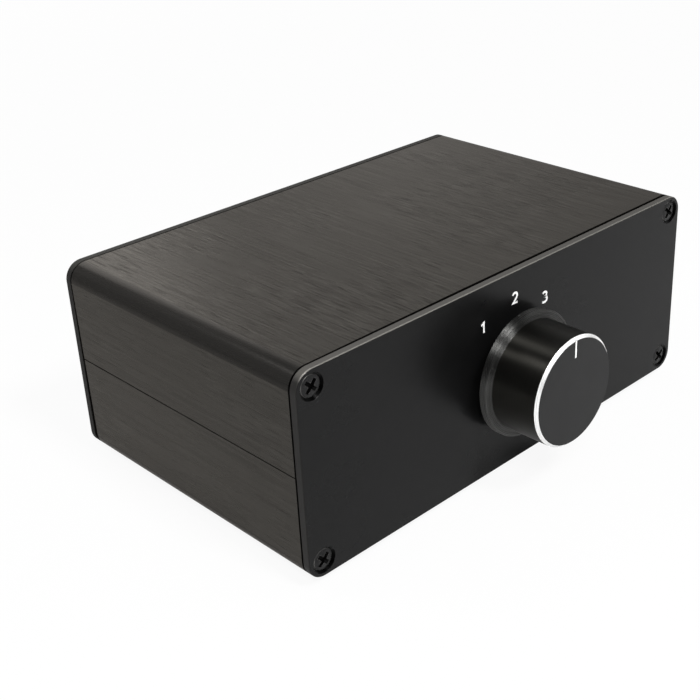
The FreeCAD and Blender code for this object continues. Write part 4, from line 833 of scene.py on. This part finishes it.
def makeReleaseTab(socket, side):
    # a plate with a grooved end to press on, and a latch below it
    s = tabSizes
    x, z = s["columns"][socket], s["levels"][side]
    pitch = (s["high"] - s["low"]) / (s["grooves"] + 1)
    profile = [(s["back"], s["low"]), (s["front"], s["low"])]
    for number in range(1, s["grooves"] + 1):
        level = s["low"] + pitch * number
        profile += [(s["front"], level - s["groove"]), (s["front"] - s["groove"], level),
                    (s["front"], level + s["groove"])]
    profile += [(s["front"], s["high"]), (s["back"], s["high"])]
    shape = bmesh.new()
    joinLoops(shape, *([shape.verts.new((x + way * s["half"], y, z + up)) for y, up in profile] for way in (-1, 1)))
    addBox(shape, (x - s["latchHalf"], s["latchBack"], z + s["latchLow"]),
           (x + s["latchHalf"], s["latchFront"], z + s["low"] + s["overlap"]))
    tab = storeMesh(f"{socket}{side.capitalize()}Tab", shape, [finishes["tab"]])
    softenEdges(tab, s["edge"], 3, 60)
    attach(tab, f"{socket}_{side}_release")
    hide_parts(f"{socket}_{side}_release_tab")


makeOutputPins()
for socket in tabSizes["columns"]:
    for side in tabSizes["levels"]:
        makeReleaseTab(socket, side)
print("output pins and release tabs made")


# position digits printed on the front panel

digitSizes = {"height": 3.95, "width": 2.4, "stroke": 0.68, "radius": 22.8, "step": 36.6, "drop": 0.3, "ink": 0.03,
              "sunk": 0.01, "leastLean": 0.55}
digitStrokes = {
    "1": [[(0.12, 0.76), (0.56, 0.97), (0.56, 0.0)]],
    "2": [[(0.06, 0.8), (0.2, 0.94), (0.45, 1.0), (0.72, 0.95), (0.86, 0.8), (0.86, 0.64), (0.74, 0.46), (0.4, 0.2),
           (0.08, 0.02), (0.96, 0.02)]],
    "3": [[(0.08, 0.9), (0.3, 0.99), (0.55, 0.99), (0.78, 0.92), (0.86, 0.77), (0.8, 0.62), (0.6, 0.54), (0.34, 0.53)],
          [(0.34, 0.53), (0.66, 0.5), (0.86, 0.4), (0.92, 0.25), (0.84, 0.09), (0.6, 0.0), (0.3, 0.0), (0.04, 0.07)]],
}


def inkStroke(shape, path, half):
    # a flat ribbon of constant breadth along the path, with mitred bends
    path = [Vector(point) for point in path]
    sides = []
    for k, point in enumerate(path):
        before = (point - path[k - 1]).normalized() if k else None
        after = (path[k + 1] - point).normalized() if k + 1 < len(path) else None
        before, after = before or after, after or before
        across = Vector((-(before + after).y, (before + after).x)).normalized()
        lean = max(digitSizes["leastLean"], abs(across.dot(Vector((-before.y, before.x)))))
        sides.append((point + across * half / lean, point - across * half / lean))
    depths = (casing["frontFace"] - digitSizes["ink"], casing["frontFace"] + digitSizes["sunk"])
    loops = [[shape.verts.new((p.x, depth, p.y)) for p in pair] for pair in sides for depth in depths]
    for k in range(len(path) - 1):
        a, b, c, d = loops[2 * k], loops[2 * k + 2], loops[2 * k + 1], loops[2 * k + 3]
        for corners in ((a[0], b[0], b[1], a[1]), (c[1], d[1], d[0], c[0]), (a[0], c[0], d[0], b[0]),
                        (a[1], b[1], d[1], c[1])):
            shape.faces.new(corners)
    for first, second in ((loops[0], loops[1]), (loops[-2], loops[-1])):
        shape.faces.new((first[0], first[1], second[1], second[0]))


def printDigits():
    s = digitSizes
    shape = bmesh.new()
    for number, digit in enumerate("123"):
        angle = math.radians((number - 1) * s["step"])
        middle = Vector((s["radius"] * math.sin(angle), knobAxis.z + s["radius"] * math.cos(angle) - s["drop"]))
        for stroke in digitStrokes[digit]:
            path = [(middle.x + (u - 0.5) * s["width"], middle.y + (v - 0.5) * (s["height"] - s["stroke"]))
                    for u, v in stroke]
            inkStroke(shape, path, s["stroke"] / 2)
    digits = storeMesh("positionDigits", shape, [finishes["whiteInk"]])
    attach(digits, "casing")


printDigits()
print("digits printed")


# floor, surround, lamps and camera

# the surround's spans are parts of a direction (right, rear or up, from -1 to 1) between which it changes
studio = {"floorColor": 0.8, "floorRoughness": 0.9, "floorSpecular": 0.1, "floorSeen": 0.92, "floorMirrored": 0.15,
          "floorSize": 8.0, "floorLevel": -0.05, "floorFade": (0.3, 1.2), "surroundSeen": 1.0, "surroundLight": 0.16,
          "wallMirrored": 0.97, "rightMirrored": 0.45, "frontMirrored": 0.22, "ceilingMirrored": 0.15,
          "rearShare": 0.6, "rightSpan": (0.67, 0.83), "rearSpan": (0.7, 0.84), "frontSpan": (0.0, 0.4),
          "ceilingSpan": (0.66, 0.8)}


def seenFactor(tree, otherwise, seen, mirrored):
    # one value for lighting the object, one for the camera and one for reflections
    rays = addNode(tree, "ShaderNodeLightPath").outputs
    through = calc(tree, "MAXIMUM", rays["Is Glossy Ray"], rays["Is Transmission Ray"])
    direct = calc(tree, "MULTIPLY_ADD", rays["Is Camera Ray"], calc(tree, "SUBTRACT", seen, otherwise), otherwise)
    return calc(tree, "MULTIPLY_ADD", through, calc(tree, "SUBTRACT", mirrored, otherwise), direct)


def makeStudio():
    look = studio
    world = bpy.data.worlds.new("whiteSurround")
    world.use_nodes = True
    bpy.context.scene.world = world
    tree = world.node_tree
    outward = addNode(tree, "ShaderNodeTexCoord").outputs["Generated"]
    across, along, up = addNode(tree, "ShaderNodeSeparateXYZ", {0: outward}).outputs
    right = remap(tree, across, *look["rightSpan"], look["wallMirrored"], look["rightMirrored"])
    wall = calc(tree, "MULTIPLY", right, remap(tree, along, *look["rearSpan"], 1.0, look["rearShare"]))
    wall = addNode(tree, "ShaderNodeMix", {0: remap(tree, along, *look["frontSpan"]), 2: look["frontMirrored"],
                                           3: wall}).outputs[0]
    mirrored = addNode(tree, "ShaderNodeMix", {0: remap(tree, up, *look["ceilingSpan"]), 2: wall,
                                               3: look["ceilingMirrored"]}).outputs[0]
    strength = seenFactor(tree, look["surroundLight"], look["surroundSeen"], mirrored)
    background = tree.nodes["Background"].inputs
    tree.links.new(strength, background["Strength"])
    background["Color"].default_value = white

    shape = bmesh.new()
    bmesh.ops.create_grid(shape, x_segments=1, y_segments=1, size=look["floorSize"] / 2 / mm,
                          matrix=Matrix.Translation((0.0, 0.0, look["floorLevel"])))
    floor = storeMesh("floor", shape, [])
    paper, tree, _ = newFinish("palePaper", {"Base Color": (look["floorColor"],) * 3 + (1.0,),
                                             "Roughness": look["floorRoughness"],
                                             "Specular IOR Level": look["floorSpecular"]})
    matt = tree.nodes["Principled BSDF"].outputs[0]
    glow = addNode(tree, "ShaderNodeEmission", {"Color": white, "Strength": 1.0}).outputs[0]
    # the floor turns white towards the horizon, and is clear from below
    spot = addNode(tree, "ShaderNodeTexCoord").outputs["Object"]
    far = addNode(tree, "ShaderNodeVectorMath", {0: spot}, operation="LENGTH").outputs["Value"]
    seen = seenFactor(tree, 0.0, remap(tree, far, *look["floorFade"], look["floorSeen"], 1.0), look["floorMirrored"])
    above = addNode(tree, "ShaderNodeMixShader", {0: seen, 1: matt, 2: glow}).outputs[0]
    clear = addNode(tree, "ShaderNodeBsdfTransparent").outputs[0]
    below = addNode(tree, "ShaderNodeNewGeometry").outputs["Backfacing"]
    sided = addNode(tree, "ShaderNodeMixShader", {0: below, 1: above, 2: clear}).outputs[0]
    tree.links.new(sided, tree.nodes["Material Output"].inputs["Surface"])
    floor.data.materials.append(paper)


lamps = {
    "overhead": {"place": (-0.05, -0.1, 1.1), "aim": (0.0, 0.0, 0.03), "size": (0.45, 0.6), "power": 0.8},
    "frontLeft": {"place": (-0.63, -0.72, 0.95), "aim": (0.0, -0.02, 0.03), "size": (0.26, 0.26), "power": 9.0},
    "front": {"place": (-0.02, -0.75, 1.0), "aim": (0.0, -0.02, 0.03), "size": (0.22, 0.22), "power": 9.0},
    "behindLeft": {"place": (-0.53, 0.65, 0.99), "aim": (0.0, -0.05, 0.03), "size": (0.3, 0.25), "power": 1.8},
    "rearRight": {"place": (0.3, 1.2, 0.75), "aim": (-0.05, 0.0, 0.05), "size": (0.7, 0.5), "power": 2.6},
    "rear": {"place": (-0.1, 1.4, 0.42), "aim": (0.0, 0.06, 0.03), "size": (0.8, 0.4), "power": 2.0},
    "right": {"place": (1.0, -0.6, 0.7), "aim": (0.0, 0.0, 0.03), "size": (0.8, 0.8), "power": 2.0},
}


def makeLamps():
    for name, setting in lamps.items():
        light = bpy.data.lights.new(name, "AREA")
        light.shape = "RECTANGLE"
        light.size, light.size_y = setting["size"]
        light.energy = setting["power"]
        lamp = link(name, light)
        lamp.location = setting["place"]
        aim = Vector(setting["aim"]) - Vector(setting["place"])
        lamp.rotation_euler = aim.to_track_quat("-Z", "Y").to_euler()


viewpoint = {"place": (-0.246947, -0.247973, 0.207881), "round": -44.427, "above": 26.381, "roll": -1.983,
             "lens": 63.689, "sensor": 36.0, "shift": (-0.07654, -0.0352), "clip": (0.01, 50.0)}


def makeCamera():
    v = viewpoint
    turn, lift, roll = (math.radians(v[key]) for key in ("round", "above", "roll"))
    back = Vector((math.sin(turn) * math.cos(lift), -math.cos(turn) * math.cos(lift), math.sin(lift)))
    right = Vector((0.0, 0.0, 1.0)).cross(back).normalized()
    up = back.cross(right)
    right, up = right * math.cos(roll) + up * math.sin(roll), up * math.cos(roll) - right * math.sin(roll)
    lens = bpy.data.cameras.new("photoCamera")
    lens.sensor_width = v["sensor"]
    lens.lens = v["lens"]
    lens.shift_x, lens.shift_y = v["shift"]
    lens.clip_start, lens.clip_end = v["clip"]
    camera = link("photoCamera", lens)
    camera.matrix_world = Matrix.Translation(v["place"]) @ Matrix((right, up, back)).transposed().to_4x4()
    bpy.context.scene.camera = camera


makeStudio()
makeLamps()
makeCamera()
bpy.context.scene.view_settings.view_transform = "Standard"
print("studio ready")
